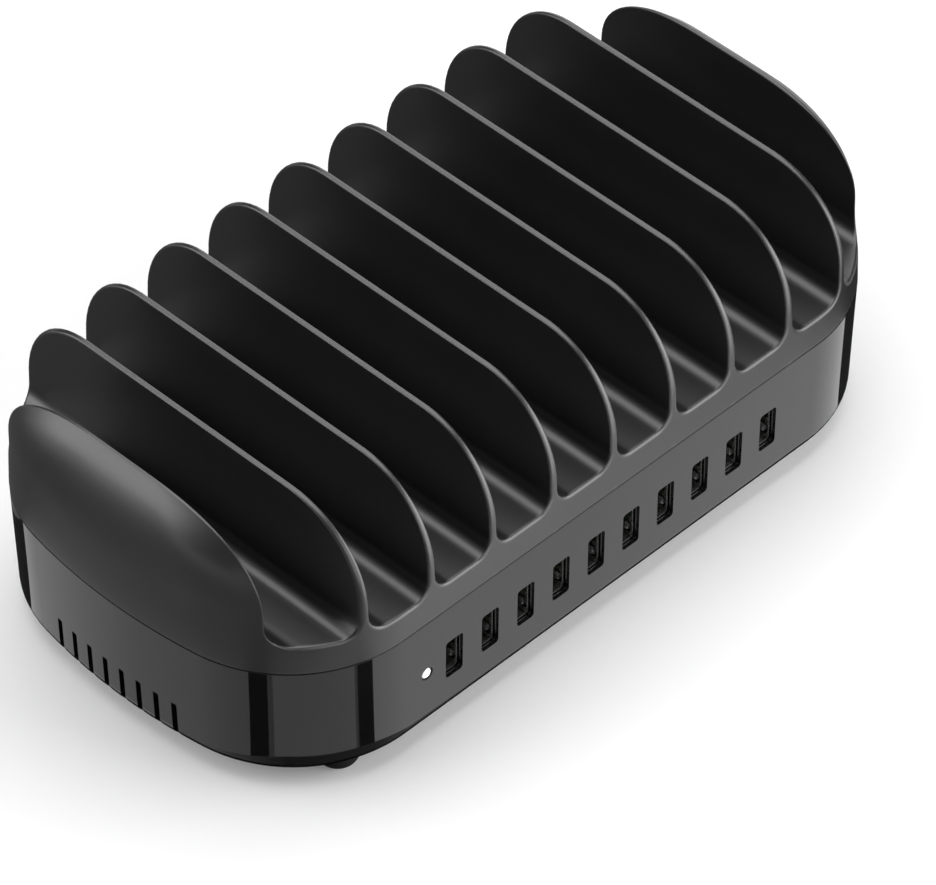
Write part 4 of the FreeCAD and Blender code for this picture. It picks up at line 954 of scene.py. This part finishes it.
# Painted reflections: the two dark bars and the panels between and beside them, from the near corner round
# the left end, and the right end.
for name, side, turns, low, greys in (("card_bar_right", LEFT, (14.3, 20.5), 9.0, (0.0, 0.0)),
                                      ("card_strip_right", LEFT, (20.5, 21.6), 9.0, (0.3, 0.3)),
                                      ("card_panel", LEFT, (21.6, 52.0), 9.0, (0.66, 0.60)),
                                      ("card_strip_left", LEFT, (52.0, 54.0), 9.0, (0.3, 0.3)),
                                      ("card_bar_left", LEFT, (54.0, 61.0), 9.0, (0.0, 0.0)),
                                      ("card_end", LEFT, (61.0, 88.0), 6.0, (0.50, 0.58)),
                                      ("card_end_far", LEFT, (88.0, 101.0), 6.0, (0.58, 0.83)),
                                      ("card_end_last", LEFT, (101.0, 111.5), 6.0, (0.83, 0.85)),
                                      ("card_end_back", LEFT, (111.5, 140.0), 2.0, (0.02, 0.02)),
                                      ("card_corner_right", RIGHT, (0, 22.0), 2.0, (1.2, 1.25)),
                                      ("card_right_end", RIGHT, (22.0, 95.0), 2.0, (0.02, 0.02))):
    table_card(name, side, turns, low, (HOUSING_TOP, HOUSING_TOP), greys)
table_card("card_front_right", RIGHT, (0, 0), 2.0, (HOUSING_TOP, HOUSING_TOP), (1.0, 1.2), along=(-90, 0))
# Painted reflections in the skirt of the cover, along the front and round both ends.
table_card("card_cover_left", LEFT, (0, 0), COVER_LOW, (100.0, 100.0), (0.9, 0.65), along=(0, 80))
table_card("card_cover_right", RIGHT, (0, 0), COVER_LOW, (100.0, 100.0), (0.65, 0.25), along=(-90, 0))
for name, side, turns, tops, greys in (
        ("card_cover_corner", LEFT, (0, 40.0), (100.0, 120.0), (0.9, 0.2)),
        ("card_cover_end", LEFT, (40.0, 90.0), (COVER_BAND, COVER_BAND), (0.1, 0.0)),
        ("card_cover_back", LEFT, (90.0, 140.0), (COVER_BAND, COVER_BAND), (0.0, 0.0)),
        ("card_cover_turn", RIGHT, (0, 10.0), (100.0, 140.0), (0.25, 0.0)),
        ("card_cover_far", RIGHT, (10.0, 60.0), (140.0, 200.0), (0.0, 0.0))):
    table_card(name, side, turns, COVER_LOW, tops, greys)
table_card("card_cover_beyond", LEFT, (20.0, 40.0), 120.0, (FAR_TOP, FAR_TOP), (0.4, 0.24), lift=0.25)
table_card("card_cover_end_beyond", LEFT, (40.0, 90.0), COVER_BAND, (FAR_TOP, FAR_TOP), (0.24, 0.24))
table_card("card_cover_back_beyond", LEFT, (90.0, 140.0), COVER_BAND, (FAR_TOP, FAR_TOP), (0.24, 0.0))


def front_spot(i, j):
    """A spot of the bright card far in front of the sockets, which widens to the right."""
    ends = [start + slope * FRONT_RUNS[j] for start, slope in (FRONT_LEFT, FRONT_RIGHT)]
    return between(ends, i / FRONT_ACROSS), -BASE_DEPTH - FRONT_RUNS[j], 0


# Painted highlight: a bright card far in front, which only mirrored rays see, brightens the rims and walls
# that mirror it.
front_card = lay_sheet("card_front_far", FRONT_ACROSS, len(FRONT_RUNS) - 1, front_spot)
set_card(front_card, [grey for grey in FRONT_GREYS for i in range(FRONT_ACROSS + 1)], FRONT_LIFT)


def curve_spot(middle, turns, reach, share):
    """A spot of a curve round a middle, a share of the way from one turn to another."""
    angle = math.radians(between(turns, share))
    return middle[0] + reach * math.cos(angle), middle[1] + reach * math.sin(angle)


def stand_card(name, middle, turns, reach, top, grey):
    """A curved bright card that stands on the table round a spot, seen only by mirrored rays: a painted
    highlight on the rims that mirror it.
    """
    card = lay_sheet(name, CURVE_STEPS, 1, lambda i, j: (
        *curve_spot(middle, turns, reach, i / CURVE_STEPS), top * j))
    set_card(card, [grey] * len(card.data.vertices), STANDING_LIFT)


stand_card("card_rim_front", middle=(-118.0, -50.0), turns=(238.0, 278.0), reach=600.0, top=850.0, grey=1.8)
stand_card("card_ridge_back", middle=(0.0, 0.0), turns=(20.0, 52.0), reach=900.0, top=1000.0, grey=1.8)
